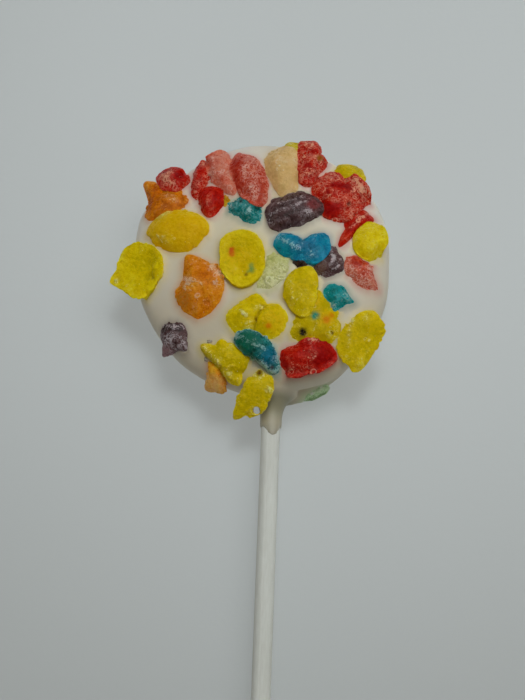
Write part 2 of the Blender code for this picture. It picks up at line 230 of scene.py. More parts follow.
white_coat = new_object("white_coat", join_meshes("white_coat", (head_mesh(), neck_mesh(), tongue_mesh())))
skin = white_coat.modifiers.new("One skin", "REMESH")
skin.mode = "VOXEL"
skin.voxel_size = COAT_VOXEL * MM
smooth = white_coat.modifiers.new("Melted", "SMOOTH")
smooth.factor = SMOOTHING_SHARE
smooth.iterations = SMOOTHING_ROUNDS
settle_modifiers(white_coat)


class Wire:
    """An output in a node tree. Arithmetic on it adds Math nodes, or Vector Math nodes where it is a vector."""

    def __init__(self, tree, socket=None):
        self.tree = tree
        self.socket = socket

    def node(self, kind, settings=None, values=None, output=0):
        """Adds a node: first its settings, then a number, colour, data-block or wire for each named socket."""
        made = self.tree.nodes.new(kind)
        for name, setting in (settings or {}).items():
            setattr(made, name, setting)
        sockets = [socket for socket in made.inputs if socket.enabled]
        for place, value in (values or {}).items():
            named = [socket for socket in sockets if socket.name == place]
            target = named[0] if named else sockets[place]
            if isinstance(value, Wire):
                value.feed(target)
            else:
                target.default_value = value
        outputs = [socket for socket in made.outputs if socket.enabled]
        if not outputs:
            return Wire(self.tree)
        if isinstance(output, str):
            return Wire(self.tree, made.outputs[output])
        return Wire(self.tree, outputs[output])

    def feed(self, socket):
        self.tree.links.new(self.socket, socket)

    def pair(self, operation, first, second):
        """A sign between two values, of which at least one is a wire."""
        wires = [value for value in (first, second) if isinstance(value, Wire)]
        if any(wire.socket.type == "VECTOR" for wire in wires):
            first, second = ((value,) * 3 if isinstance(value, (int, float)) else value for value in (first, second))
            return self.node("ShaderNodeVectorMath", {"operation": operation}, {0: first, 1: second})
        return self.node("ShaderNodeMath", {"operation": operation}, {0: first, 1: second})

    def __add__(self, other):
        return self.pair("ADD", self, other)

    def __radd__(self, other):
        return self.pair("ADD", other, self)

    def __sub__(self, other):
        return self.pair("SUBTRACT", self, other)

    def __rsub__(self, other):
        return self.pair("SUBTRACT", other, self)

    def __mul__(self, other):
        return self.pair("MULTIPLY", self, other)

    def __rmul__(self, other):
        return self.pair("MULTIPLY", other, self)

    def __truediv__(self, other):
        return self.pair("DIVIDE", self, other)

    def __rtruediv__(self, other):
        return self.pair("DIVIDE", other, self)

    def __pow__(self, power):
        return self.pair("POWER", self, power)

    def between(self, low, high):
        """0 below the low value, 1 above the high one, and a soft step between them."""
        return self.node("ShaderNodeMapRange", {"interpolation_type": "SMOOTHSTEP"},
                         {"Value": self, "From Min": low, "From Max": high})

    def kept_in(self, low=0.0, high=1.0):
        return self.node("ShaderNodeClamp", None, {"Value": self, "Min": low, "Max": high})

    def maths(self, operation, *others):
        return self.node("ShaderNodeMath", {"operation": operation}, dict(enumerate((self, *others))))

    def axis(self, name):
        return self.node("ShaderNodeSeparateXYZ", None, {0: self}, name)

    def length(self):
        return self.node("ShaderNodeVectorMath", {"operation": "LENGTH"}, {0: self}, "Value")

    def noise(self, scale, detail=2.0, distortion=0.0, output=0):
        """Soft noise over a place, with about as many patches to the metre as the scale."""
        return self.node("ShaderNodeTexNoise", None, {
            "Vector": self, "Scale": scale, "Detail": detail, "Distortion": distortion}, output)

    def attribute(self, name, output="Fac"):
        """In a finish, what the mesh keeps at each point under a name."""
        return self.node("ShaderNodeAttribute", {"attribute_name": name}, output=output)


def blend_colours(share, first, second):
    """The first colour where the share is 0 and the second where it is 1."""
    first, second = (value if isinstance(value, Wire) else (*value, 1.0) for value in (first, second))
    return share.node("ShaderNodeMix", {"data_type": "RGBA"}, {"Factor": share, "A": first, "B": second})


def new_finish(name, constants):
    """A material with one Principled shader and its constants, and a wire of the place on the piece."""
    finish = bpy.data.materials.new(name)
    finish.use_nodes = True
    shader = finish.node_tree.nodes["Principled BSDF"]
    for socket, value in constants.items():
        shader.inputs[socket].default_value = value
    return finish, shader, Wire(finish.node_tree).node("ShaderNodeTexCoord", output="Object")


def connect(shader, colour, roughness, height, depth):
    """Feeds a shader its colour, its roughness, and a bump of a depth in millimetres."""
    colour.feed(shader.inputs["Base Color"])
    roughness.feed(shader.inputs["Roughness"])
    bump = height.node("ShaderNodeBump", None, {"Strength": 1.0, "Distance": depth * MM, "Height": height})
    bump.feed(shader.inputs["Normal"])


COAT_PALE = (0.86, 0.80, 0.70)
COAT_WARM = (0.78, 0.70, 0.51)
# The thin coat's colour, used for its mottling and also as painted shade on the coat's side toward the stick
COAT_THIN_AND_SHADED = (0.62, 0.54, 0.39)
# The thin coat on the stick, much darkened as painted shade where the neck lies in the head's shadow
COAT_ON_STICK_AND_SHADED = (0.30, 0.28, 0.18)
# How far from each flake, and how strongly, the coat takes the flake's colour: partly dye from the flake, partly
# painted shade beside it
DYE_AND_SHADE_REACH = 1.8
DYE_AND_SHADE_SHARE = 0.45
COAT_BUMP = 0.05

# Patches of each of the coat's patterns to the metre
COAT_MOTTLE = 140.0
COAT_CLOUD = 420.0
COAT_DIMPLE = 900.0

# Where its colour changes: as a share of the head's radius, then along the stick from the head's middle
WARM_TO_PALE = (0.75, 1.02)
# Painted shade: from here the coat grows darker and warmer toward the stick's side, which faces away from the light
PALE_TO_SHADED_SOUTH = (-14.0, 20.0)
# Painted shade over the neck under the head, easing further along the stick to the thin coat's own colour
ONTO_THE_STICK = (23.6, 25.4)
OFF_THE_NECK = (26.5, 30.0)

coat_finish, coat_shader, coat_place = new_finish("set_white_coating", {
    "IOR": 1.46,
    "Subsurface Weight": 0.25,
    "Subsurface Radius": (1.0, 0.8, 0.5),
    "Subsurface Scale": 1.2 * MM,
})
coat_cloud = coat_place.noise(COAT_CLOUD)
coat_dimples = coat_place.noise(COAT_DIMPLE)
coat_edge = (coat_place.length() / (HEAD_RADIUS * MM)).between(*WARM_TO_PALE)
coat_south = coat_place.axis("Y") / -MM
coat_dyed_and_shaded = (1.0 - coat_place.attribute("near") / DYE_AND_SHADE_REACH).kept_in() ** 2.0
coat_colour = blend_colours(coat_edge, COAT_WARM, COAT_PALE)
for share, colour in (
        (coat_place.noise(COAT_MOTTLE, detail=3.0).between(0.5, 0.75) * 0.3, COAT_THIN_AND_SHADED),
        # Painted shade toward the stick's side
        (coat_south.between(*PALE_TO_SHADED_SOUTH) * 0.9, COAT_THIN_AND_SHADED),
        # Painted shade on the neck, less of it on the tongue
        (coat_south.between(*ONTO_THE_STICK) * (1.0 - coat_south.between(*OFF_THE_NECK) * 0.55), COAT_ON_STICK_AND_SHADED),
        # Beside each flake: partly its dye, partly painted shade
        (coat_dyed_and_shaded * (coat_cloud * 2.0).kept_in() * DYE_AND_SHADE_SHARE, coat_place.attribute("dye", "Color"))):
    coat_colour = blend_colours(share, coat_colour, colour)
connect(coat_shader, coat_colour, 0.34 + coat_cloud * 0.12, coat_cloud * 0.6 + coat_dimples * 0.4, COAT_BUMP)

# The cereal flakes. Crisped rice in eleven colours, crushed and dropped on the coating while it was wet, each a
# thin puffed scrap a few millimetres long with sugar dried on it. All flakes and crumbs of a colour are one piece.

FLAKE_HALF = 0.9
THICKEST_SHARE = 0.7
EDGE_THINNING = 0.7
FLAKE_SINK = 0.8
FLAKE_FULLNESS = 0.7
FLAKE_DRAPE = 0.45
DEEPEST_DROP = 3.0
RIM_MARGIN = 0.6
RIM_BLEND = 1.0
SLOPE_STEP = 0.05
CELL = 0.2
FEWEST_CELLS = 8
TOP_SHARE = 0.93
EDGE_STEPS = 8
CORNER_WINDOW = 20
CORNER_SOFTNESS = 5.0
ANY_TURN = (0.0, 6.28)
RAGGED_WAVES = (5, 8, 13, 22, 36)
RAGGED_EDGE = 10.0
GROUND_CELL = 0.5
GROUND_HALF = 32.0
EDGE_HEIGHT = 0.25
# How much paler a flake's rim is painted, and where that starts: painted light, standing in for light shining through
# the thin edge
EDGE_PAINTED_GLOW = 0.4
EDGE_PAINTED_GLOW_LEVEL = 0.3
CUP_LEVEL = 0.5
RIM_STEEPNESS = 5.0
EDGE_CALM = 0.6
SAG_SLIDE = (-0.125, 0.342, -1.0)
HOLE_CLEARANCE = 1.1
RING_WIDTH = 0.4
STAIN_FILL = 1.6

# A point's rise goes from -1 under its flake to 1 on top. Marks grow with it this steeply, what is above the second
# value drapes and sags, and other flakes rest on what is above the third.
MARK_STEEPNESS = 3.0
DRAPED_RISE = -0.1
TOP_RISE = 0.3

# A flake's seat is where it meets the coat, and its reach goes out from there in its own plane to the east,
# north-east, north and so on. A corner is a bearing with a longer or shorter reach between two of those. The lift
# is from the coat to the flake's middle, a cup is a raised rim, lean tips it out from level instead of along the
# coat, slide shifts it in its own plane, and sag is how far its edge settles on what lies under it. Knobs, frost,
# rim and tone say how lumpy, how sugary, how pale along the edge and how pale it is. A hole is its place and radius.
Flake = namedtuple(
    "Flake", "name colour seat reach corners lift cup lean slide sag ragged knobs frost rim tone marks hole",
    defaults=({}, 0.5, 0.0, None, (0.0, 0.0), 0.85, 0.12, 0.5, 0.3, 0.06, 0.0, (), None))

# A mark on a flake: what it is, its place and size in millimetres from the flake's middle, how strong it is, and
# where it ends if it is a line
Mark = namedtuple("Mark", "kind x y size amount end", defaults=(0.6, 1.0, None))

FLAKES = (
    Flake("left_cup", "yellow", (-21.5, -1.5), (4.4, 4.2, 4.8, 6.1, 5.8, 5.6, 6.1, 4.5), {195: 7.4}, cup=1.5, lean=22,
        sag=0.2, knobs=0.3, frost=0.02, tone=0.05, marks=(("bubble", -0.7, 3.2, 0.7, 0.5),
        ("bubble", -3.6, 1.5, 0.6, 0.4), ("bubble", -2.3, -1.5, 0.7, 0.5), ("white", -5.7, -2.0, 0.4, 0.8),
        ("deep", 1.0, 1.5, 2.0, 0.5), ("deep", 1.4, -2.0, 1.6, 0.6), ("crack", 1.5, -1.6, 0.3, 0.2, (2.6, -2.8)),
        ("brown_tint", 2.0, -2.3, 0.25, 0.4), ("pit", 0.8, 0.8, 1.4, 0.3), ("pit", 0.8, -2.0, 1.2, 0.25),
        ("lump", -2.8, 3.2, 1.2, 0.2))),
    Flake("left_oval", "golden", (-15.2, 5.2), (6.1, 4.1, 3.7, 4.5, 6.3, 4.6, 4.6, 5.3), lift=1.6, knobs=0.1,
        frost=0.02, tone=0.1, marks=(("frost", -4.0, 2.6, 0.5, 0.8, (-1.6, 3.6)),
        ("fold", -3.9, -1.2, 0.35, 0.25, (-2.6, -2.6)), ("fold", -2.6, -1.6, 0.3, 0.2, (-1.6, -2.8)),
        ("pale", -5.4, -1.0, 0.7, 0.6), ("deep", -4.4, 0.4, 0.7, 0.4), ("deep", -3.0, -3.4, 0.6, 0.5),
        ("pale", 1.5, 1.6, 2.0, 0.3))),
    Flake("left_crumb", "orange", (-18.8, 10.9), (4.8, 4.5, 4.6, 5.5, 3.5, 4.0, 3.5, 4.6), {129: 7.8, 150: 3.6},
        ragged=0.3, knobs=0.8, frost=0.03, tone=-0.3, marks=(("frost", 1.4, 1.0, 0.8, 0.5),
        ("frost", 2.6, 0.0, 0.8, 0.6), ("frost", 0.8, -1.2, 0.7, 0.5), ("lump", 1.6, 0.2, 1.2, 0.4),
        ("deep", -2.0, 0.5, 1.4, 0.8), ("pale", -3.6, 4.8, 0.8, 0.9), ("pit", 0.2, 2.4, 0.8, 0.4),
        ("deep", -1.0, 3.6, 1.2, 0.6))),
    Flake("upper_left_sugared", "red", (-16.0, 15.0), (2.9, 2.3, 3.6, 5.0, 3.6, 2.4, 2.4, 2.5), {102: 4.1, 150: 5.0},
        lift=1.6, lean=28, frost=0.15, tone=-0.3, marks=(("frost", -2.4, 1.4, 0.7, 0.8, (-0.2, -0.8)),
        ("frost", -1.0, 1.8, 0.7, 0.6), ("lump", -1.4, 1.4, 1.2, 0.25), ("deep", 1.2, 0.4, 1.3, 0.6))),
    Flake("upper_left_strip", "red", (-12.0, 15.1), (1.8, 3.3, 5.6, 1.7, 1.4, 2.1, 4.1, 1.6), {102: 3.6}, ragged=0.2,
        frost=0.2, tone=-0.1, marks=(("frost", 0.6, 4.0, 0.9, 0.6), ("frost", -0.2, -1.4, 0.9, 0.4),
        ("deep", 0.6, 1.6, 0.9, 0.5))),
    Flake("top_pale", "pink", (-8.2, 17.5), (2.4, 2.8, 4.6, 4.5, 2.5, 2.4, 3.9, 3.8), {152: 3.0, 298: 7.4, 310: 5.4},
        lift=0.9, knobs=0.4, tone=0.65, marks=(("bubble", 1.0, -1.0, 0.9, 0.7), ("frost", 0.8, -1.6, 0.9, 0.6),
        ("deep", -2.8, 1.0, 1.4, 1.2), ("deep", -3.4, 3.2, 1.0), ("pale", 0.4, 3.0, 1.8, 0.5),
        ("fold", -1.4, 2.6, 0.4, 0.2, (-0.8, -1.6)))),
    Flake("top_oval", "pink", (-2.5, 15.5), (3.1, 3.2, 4.4, 5.0, 3.2, 3.1, 5.4, 5.1), {114: 5.9, 288: 7.2, 302: 6.6},
        lift=1.5, knobs=0.25, frost=0.32, tone=-0.2, marks=(("deep", -2.6, 2.6, 0.8, 1.0, (-2.0, -2.4)),
        ("frost", 1.4, -4.0, 1.2, 0.5), ("frost", 0.6, 3.0, 0.8, 0.4), ("ring", 0.9, -2.6, 0.5, 0.12),
        ("deep", 3.0, -2.0, 0.5, 0.6, (2.2, -5.4)))),
    Flake("small_blob", "red", (-9.3, 11.0), (2.4, 2.5, 2.6, 3.0, 2.3, 2.7, 3.9, 2.6), lift=1.3, knobs=0.55, frost=0.05,
        tone=-0.2, marks=(("frost", -0.4, -1.5, 0.9, 0.55), ("lump", 0.2, 0.8, 1.2, 0.25))),
    # Its deep mark on the right is a painted shadow from the top_oval flake, and its white mark is a painted glint
    Flake("upper_ragged", "teal", (-2.9, 9.0), (3.0, 1.8, 2.2, 2.8, 3.4, 1.8, 2.4, 3.5), {112: 3.0, 157: 3.2},
        ragged=0.25, knobs=0.8, frost=0.2, tone=0.25, marks=(("dark", -0.8, 1.3, 0.35, 0.9),
        ("white", 0.9, -0.6, 0.35, 0.8), ("frost", 0.4, -0.2, 0.8, 0.6), ("pit", -0.8, 1.3, 0.5, 0.4),
        ("deep", 2.4, 0.4, 0.8, 1.2), ("ring", -2.2, 0.6, 0.6, 0.15))),
    # Its two small white marks are painted glints
    Flake("top_fan", "peach", (3.8, 17.6), (2.9, 3.9, 5.2, 4.3, 3.6, 3.7, 6.9, 3.8), {246: 4.5, 285: 6.3, 300: 5.6},
        lift=1.0, knobs=0.2, frost=0.04, tone=-0.1, marks=(("white", -0.8, -0.4, 0.16), ("white", 0.0, -1.4, 0.14, 0.9),
        ("lump", -0.7, -5.0, 0.9, 0.4), ("lump", 1.1, -4.8, 0.9, 0.4), ("crack", 0.3, -3.4, 0.35, 0.25, (0.2, -6.0)),
        ("pale", 2.0, -1.0, 0.8, 0.6, (1.6, 3.0)), ("deep", -2.6, 1.0, 0.9, 0.8, (-1.6, -3.0)),
        ("fold", -1.6, 3.4, 0.5, 0.15, (-1.2, -2.0)))),
    Flake("top_behind", "yellow", (5.5, 21.6), (2.0, 2.4, 3.4, 3.0, 2.0, 2.0, 2.0, 2.0), lift=0.4, lean=35, tone=-0.8),
    Flake("top_knobs", "red", (8.7, 19.4), (2.8, 2.4, 5.1, 3.9, 2.5, 3.2, 7.1, 3.2),
        {122: 5.1, 242: 4.6, 254: 7.2, 276: 6.8, 290: 4.1}, lift=1.0, ragged=0.15, knobs=1.1, frost=0.28, tone=-0.3,
        marks=(("ring", -0.8, 2.9, 0.8, 0.18), ("ring", -1.2, -1.2, 0.7, 0.16), ("ring", -0.4, -4.0, 0.7, 0.2),
        ("amber", 1.4, -0.2, 0.6, 0.9), ("ring", 1.2, -0.4, 0.75, 0.2), ("pit", 1.2, -0.4, 0.4, 0.4),
        ("deep", 0.2, 1.0, 0.8, 0.8), ("deep", -0.6, -2.4, 0.7, 0.8), ("frost", -1.4, 4.0, 0.8, 0.6))),
    Flake("upper_right_behind", "yellow", (15.0, 17.2), (3.9, 4.0, 3.1, 2.4, 2.0, 2.0, 2.2, 3.0), lift=0.4, lean=35,
        knobs=0.2, frost=0.05, tone=-0.8, marks=(("deep", 2.6, 1.2, 0.9, 0.6),)),
    Flake("upper_right_lobes", "red", (14.5, 12.2), (5.5, 5.0, 3.7, 4.9, 5.7, 4.8, 6.2, 4.8),
        {62: 5.2, 80: 3.4, 112: 5.2, 196: 5.6, 216: 4.3, 238: 6.4}, lift=1.5, ragged=0.15, knobs=0.7, tone=-0.1, marks=(
        ("frost", 3.0, 1.0, 2.0, 0.55), ("ring", -2.6, -0.6, 0.8, 0.18), ("ring", -3.8, 1.6, 0.8, 0.15),
        ("ring", -1.6, 2.8, 0.8, 0.2), ("bubble", 0.9, -1.9, 1.1, 0.7), ("lump", 0.9, -1.9, 1.3, 0.35),
        ("dark", 1.2, -2.7, 0.35, 0.7), ("deep", -1.4, 1.1, 0.8, 1.3, (1.0, 0.8)), ("deep", -1.8, -4.2, 1.6, 1.2),
        ("deep", -2.6, -0.7, 0.4), ("pit", 0.6, 1.0, 0.8, 0.45), ("pit", -1.0, -2.6, 0.7, 0.4),
        ("fold", 2.0, 3.2, 0.5, 0.3, (4.0, 0.6)))),
    Flake("right_shard", "red", (17.8, 6.6), (1.7, 3.1, 2.9, 2.4, 2.8, 4.4, 1.1, 1.1),
        {22: 3.3, 212: 2.8, 238: 7.2, 250: 2.4}, knobs=0.2, frost=0.06, tone=-0.1, marks=(
        ("frost", -0.4, 0.8, 0.8, 0.4), ("pale", -2.6, -3.6, 0.8, 0.8), ("deep", -1.2, -0.4, 0.8, 0.5),
        ("fold", 1.8, 2.4, 0.5, 0.25, (-1.6, -1.4)))),
    Flake("upper_long", "purple", (6.0, 8.7), (5.7, 4.1, 3.1, 3.1, 5.1, 5.8, 3.7, 3.8), lift=1.9, knobs=0.18, frost=0.1,
        tone=-0.2, marks=(("fold", -4.0, -1.4, 0.45, 0.25, (3.0, 1.4)), ("fold", -3.2, 0.6, 0.4, 0.2, (1.6, 2.2)),
        ("crack", -3.6, -0.4, 0.35, 0.2, (2.4, 2.0)), ("crack", -3.0, -2.4, 0.4, 0.25, (3.0, 0.2)),
        ("red_tint", 3.6, 0.6, 1.1, 0.5), ("deep", -4.4, -2.6, 1.0, 0.6), ("frost", 1.6, -1.2, 1.2, 0.3),
        ("frost", 3.0, -1.0, 0.8), ("frost", -4.2, -2.8, 0.8, 0.6))),
    Flake("middle_notched", "blue", (7.9, 1.5), (5.3, 3.3, 1.0, 3.3, 5.4, 3.3, 2.9, 4.6),
        {32: 4.8, 60: 1.6, 116: 1.7, 152: 5.0, 297: 4.2}, lift=1.5, knobs=0.6, frost=0.04, tone=0.2, marks=(
        ("teal_tint", -3.8, -0.6, 1.8, 0.5), ("frost", 0.0, 0.2, 0.6, 0.55), ("frost", -1.8, -1.0, 0.4, 0.45),
        ("frost", 1.6, -2.0, 1.1, 0.5), ("frost", -3.4, 0.4, 0.4, 0.35), ("fold", -4.6, 1.4, 0.6, 0.3, (-0.6, -0.8)),
        ("lump", 2.6, 1.2, 1.4, 0.3), ("deep", 1.2, -0.4, 0.8, 0.7), ("deep", 4.6, -0.4, 0.8, 0.6))),
    Flake("right_sugared", "purple", (12.2, -1.6), (3.3, 3.1, 2.6, 2.2, 1.9, 2.8, 2.6, 2.8), {65: 3.7, 337: 3.6},
        ragged=0.15, knobs=0.6, frost=0.16, tone=-0.1, marks=(("frost", 1.6, 1.2, 0.3, 0.8, (0.8, -0.6)),
        ("frost", 2.4, -0.8, 0.25, 0.8, (1.2, -1.4)), ("frost", 2.6, 0.8, 0.3, 0.6),
        ("brown_tint", -1.0, -1.0, 1.1, 0.7), ("fold", 0.6, 2.0, 0.4, 0.3, (2.2, -0.6)), ("deep", 0.4, 0.2, 0.5, 0.6))),
    Flake("right_oval", "yellow", (19.7, 3.5), (3.4, 3.7, 3.4, 2.8, 3.3, 4.2, 4.5, 3.2), lift=1.6, ragged=0.04,
        knobs=0.25, frost=0.08, tone=0.2, marks=(("pale", 1.4, -0.6, 1.4, 0.6), ("pale", -0.4, -2.4, 1.6, 0.5),
        ("fold", -0.8, -2.2, 0.3, 0.12, (2.0, -2.0)))),
    Flake("right_tail", "pink", (18.8, -2.7), (1.9, 2.1, 2.1, 3.9, 3.4, 2.7, 3.2, 4.3), {332: 2.4}, frost=0.45,
        tone=0.2, marks=(("deep", -1.6, 1.8, 1.0, 1.4), ("deep", 0.4, 1.8, 0.8, 1.2), ("ring", -2.2, 0.4, 0.5, 0.15),
        ("pale", 1.2, -2.2, 1.2, 0.7), ("deep", -0.4, -0.6, 0.6, 0.6))),
    # Its deep marks paint shade into the bowl inside its raised rim
    Flake("middle_cup", "yellow", (-3.1, -0.8), (4.1, 4.7, 5.5, 5.3, 4.1, 4.6, 5.9, 5.0), lift=0.6, cup=2.0, sag=0.3,
        ragged=0.06, knobs=0.35, frost=0.02, tone=-0.1, marks=(("red_speck", -2.0, 0.8, 0.45, 1.0, (-2.05, 1.7)),
        ("green_speck", 1.7, -1.4, 0.4, 0.8, (1.9, -2.6)), ("green_speck", 1.2, -2.7, 0.3, 0.6),
        ("brown_speck", 0.9, -3.3, 0.3, 0.8), ("frost", -1.2, -2.1, 0.5, 0.5), ("lump", 0.6, 0.6, 0.9, 0.25),
        ("lump", -0.8, 0.4, 0.7, 0.3), ("lump", 0.6, -1.4, 0.8, 0.35), ("lump", -0.2, 2.2, 0.9, 0.25),
        ("deep", -1.2, 1.4, 1.3, 0.6), ("deep", 0.4, -2.2, 1.4, 0.5), ("gold_tint", -0.4, -0.4, 2.4, 0.4),
        ("bubble", -1.0, -2.2, 0.5, 0.4))),
    Flake("sunk_pale", "cream", (2.6, -3.6), (2.8, 4.6, 4.9, 3.0, 2.6, 4.8, 3.0, 2.2), lift=-0.15, ragged=0.3,
        knobs=0.8, frost=0.18, tone=0.3, marks=(("bubble", 1.4, -0.6, 1.2, 1.2), ("ring", -0.6, -1.6, 0.6, 0.3),
        ("lump", 0.8, 1.2, 0.8, 0.3), ("frost", 0.6, -2.4, 1.4), ("frost", 1.8, 1.2, 1.0, 0.8),
        ("lump", -1.0, -0.4, 0.7, 0.25), ("lump", 0.4, 2.6, 0.6, 0.25), ("deep", -1.4, 3.4, 1.2, 0.7),
        ("crack", -0.6, -0.2, 0.3, 0.2, (1.6, 1.4)))),
    Flake("left_lumps", "orange", (-10.9, -6.1), (4.6, 5.3, 5.6, 4.2, 4.0, 4.9, 6.2, 5.0),
        {68: 4.8, 114: 6.9, 128: 5.0, 152: 3.5, 202: 4.7}, lift=0.9, knobs=0.35, frost=0.07, tone=0.1, marks=(
        ("ring", -0.8, 5.4, 0.6, 0.14), ("ring", 1.0, 5.0, 0.6, 0.12), ("frost", 2.4, 3.6, 0.8, 1.1),
        ("lump", 2.4, 3.0, 0.8, 0.4), ("frost", 3.8, 2.4, 0.8, 1.1), ("lump", 3.6, 0.8, 0.9, 0.4),
        ("frost", 3.4, 0.4, 0.8, 0.7), ("ring", -1.8, -0.3, 0.6, 0.1), ("bubble", -1.2, -0.4, 1.4, 0.7),
        ("deep", 0.4, 2.0, 1.2, 0.6), ("brown_tint", -2.6, -2.4, 1.5, 0.2), ("ring", 1.8, -3.2, 0.6, 0.12),
        ("pit", 1.8, -3.2, 0.4, 0.35), ("frost", -2.2, 0.8, 0.9, 0.5), ("fold", -2.6, 1.4, 0.6, 0.25, (1.0, 0.4)))),
    Flake("centre_oval", "yellow", (7.6, -7.1), (3.0, 4.3, 4.4, 3.2, 2.9, 3.4, 5.0, 3.8),
        {65: 4.8, 240: 3.8, 282: 5.4, 300: 4.8}, lift=1.6, sag=0.55, ragged=0.03, knobs=0.35, frost=0.05, tone=-0.4,
        marks=(("bubble", 2.1, 3.0, 0.6, 0.6), ("bubble", 2.4, 1.4, 0.45, 0.5), ("deep", -0.4, 3.6, 1.0, 0.4),
        ("frost", 0.4, -1.0, 1.4, 0.25), ("fold", -1.6, 2.0, 0.5, 0.15, (-1.2, -3.0)))),
    Flake("centre_speckled", "yellow", (11.2, -12.2), (3.6, 3.2, 5.4, 4.2, 4.3, 5.9, 4.8, 4.8),
        {66: 3.7, 98: 5.8, 216: 6.3, 342: 4.3}, ragged=0.18, frost=0.08, tone=-0.85, marks=(
        ("gold_tint", -1.2, 3.6, 1.6, 0.6), ("gold_tint", 1.4, 0.0, 1.4, 0.6), ("orange_speck", -1.6, 4.0, 0.6, 0.85),
        ("teal_speck", -0.8, 0.4, 0.6, 0.9), ("white", -0.5, 0.0, 0.25, 0.6), ("orange_speck", 1.3, -0.3, 0.6, 0.7),
        ("orange_speck", 2.2, 0.6, 0.4, 0.6), ("dark", -3.0, -2.7, 0.65), ("pit", -3.0, -2.7, 0.5, 0.4),
        ("brown_speck", 2.3, -2.6, 0.3, 0.8), ("fold", -0.4, -1.0, 0.25, 0.2, (-1.4, -3.0)),
        ("deep", -2.0, -1.2, 1.4, 0.4), ("bubble", 0.4, -2.4, 0.6, 0.4), ("pit", 2.0, 2.4, 0.8, 0.3))),
    Flake("lower_lobes", "yellow", (-0.3, -11.7), (5.8, 2.8, 4.3, 3.4, 5.5, 5.0, 3.5, 6.0), {25: 4.8}, lift=0.7,
        knobs=0.35, frost=0.04, tone=-0.08, marks=(("white", -2.0, 0.2, 0.25, 0.7), ("white", -1.5, -0.3, 0.2, 0.6),
        ("white", -0.9, -1.4, 0.25, 0.7), ("frost", -2.6, 0.6, 0.4, 0.8, (-1.6, -0.4)), ("frost", -1.2, -2.4, 0.5, 0.8),
        ("frost", 1.2, 1.4, 0.6, 0.7, (0.2, 1.2)), ("gold_tint", 3.2, -1.2, 2.2, 0.35),
        ("orange_speck", 2.5, -2.2, 0.45, 0.75), ("crack", 1.3, 1.6, 0.32, 0.8, (0.1, -1.0)),
        ("crack", 0.1, -1.0, 0.3, 0.7, (-0.4, -3.2)), ("lump", 3.0, -0.4, 1.8, 0.4), ("lump", -2.4, 0.6, 1.8, 0.3),
        ("bubble", 1.0, 1.3, 0.45, 0.4), ("deep", 2.6, -1.0, 1.6, 0.25))),
    Flake("right_chip", "teal", (14.5, -7.8), (2.2, 1.9, 2.0, 2.8, 2.6, 1.8, 2.4, 2.1),
        {68: 2.3, 160: 2.9, 258: 2.9, 340: 3.3}, ragged=0.08, knobs=0.35, frost=0.08, tone=0.7, marks=(
        ("frost", -0.4, -1.8, 0.7, 0.5), ("frost", 1.4, 0.2, 0.7, 0.4), ("deep", -1.4, 0.8, 0.8, 0.6))),
    Flake("lower_right_rim", "yellow", (17.4, -14.2), (5.3, 5.6, 3.1, 2.2, 2.7, 4.4, 7.2, 4.9), {14: 5.9}, lift=0.7,
        cup=0.3, lean=28, sag=0.5, ragged=0.2, knobs=0.4, frost=0.06, tone=-0.5, marks=(("bubble", 2.4, -1.2, 0.5, 0.5),
        ("lump", 3.0, 1.6, 0.9, 0.25), ("pit", 2.2, 3.4, 0.6, 0.3), ("white", 2.4, -1.2, 0.25, 0.4),
        ("pit", -1.4, -0.4, 0.35, 0.3), ("bubble", 0.8, -5.0, 1.0, 0.9), ("lump", 0.8, -5.0, 1.1, 0.35),
        ("frost", -0.4, 2.6, 0.5, 0.7), ("frost", 2.0, 2.8, 0.6, 0.5), ("pit", 1.6, 0.8, 0.8, 0.25),
        ("fold", -0.6, 3.4, 0.5, 0.2, (-1.6, -2.4)))),
    Flake("lower_oval", "red", (9.1, -18.8), (5.5, 3.9, 3.3, 2.9, 4.9, 5.2, 3.4, 3.8), lift=1.4, knobs=0.25, frost=0.09,
        tone=-0.55, marks=(("frost", 0.2, 3.0, 0.5, 0.7, (2.0, 3.0)), ("ring", 0.8, 0.3, 0.7, 0.15),
        ("bubble", 1.2, -1.9, 0.45, 0.8), ("pale", -2.0, 0.6, 1.4, 0.5), ("bubble", -0.6, 0.2, 0.8, 0.6),
        ("bubble", -2.6, -1.2, 0.8, 0.5), ("frost", -2.8, -2.4, 0.8, 0.4), ("deep", 3.0, 0.6, 1.6, 0.4),
        ("lump", -2.4, 0.0, 1.6, 0.3), ("pit", 0.8, 0.3, 0.5, 0.2))),
    Flake("lower_diagonal", "teal", (0.0, -18.1), (3.6, 2.9, 3.5, 4.9, 2.6, 1.4, 1.5, 5.4),
        {156: 4.7, 294: 2.9, 302: 4.6, 338: 4.4}, lift=2.0, sag=0.6, knobs=0.3, frost=0.07, rim=0.5, tone=-0.25, marks=(
        ("green_tint", -1.8, 1.8, 2.0, 0.8), ("blue_tint", 2.8, -0.8, 1.5, 0.6), ("white", -0.3, 2.2, 0.3, 0.5),
        ("frost", 3.4, -1.6, 0.8, 0.6), ("frost", 1.0, -2.2, 0.6, 0.8, (3.0, -3.6)),
        ("purple_speck", 3.0, -3.0, 0.35, 0.8), ("fold", -3.2, 2.6, 0.6, 0.25, (1.6, 0.4)),
        ("crack", 0.6, -0.8, 0.4, 0.3, (2.4, -2.4)), ("deep", -1.2, -0.2, 1.0, 0.4))),
    Flake("lower_left_curl", "purple", (-15.7, -15.0), (3.2, 3.6, 3.0, 3.0, 2.6, 3.3, 2.7, 3.2),
        {210: 2.3, 236: 4.3, 300: 2.6, 326: 4.2}, frost=0.35, tone=0.3, marks=(
        ("deep", -2.2, 2.0, 0.9, 1.5, (2.4, 2.2)), ("frost", 0.4, 0.4, 0.9, 0.8), ("frost", -0.8, -0.6, 0.7, 0.6),
        ("mauve_tint", -1.4, -2.6, 1.2, 0.8), ("deep", 1.4, -0.6, 0.7, 0.8),
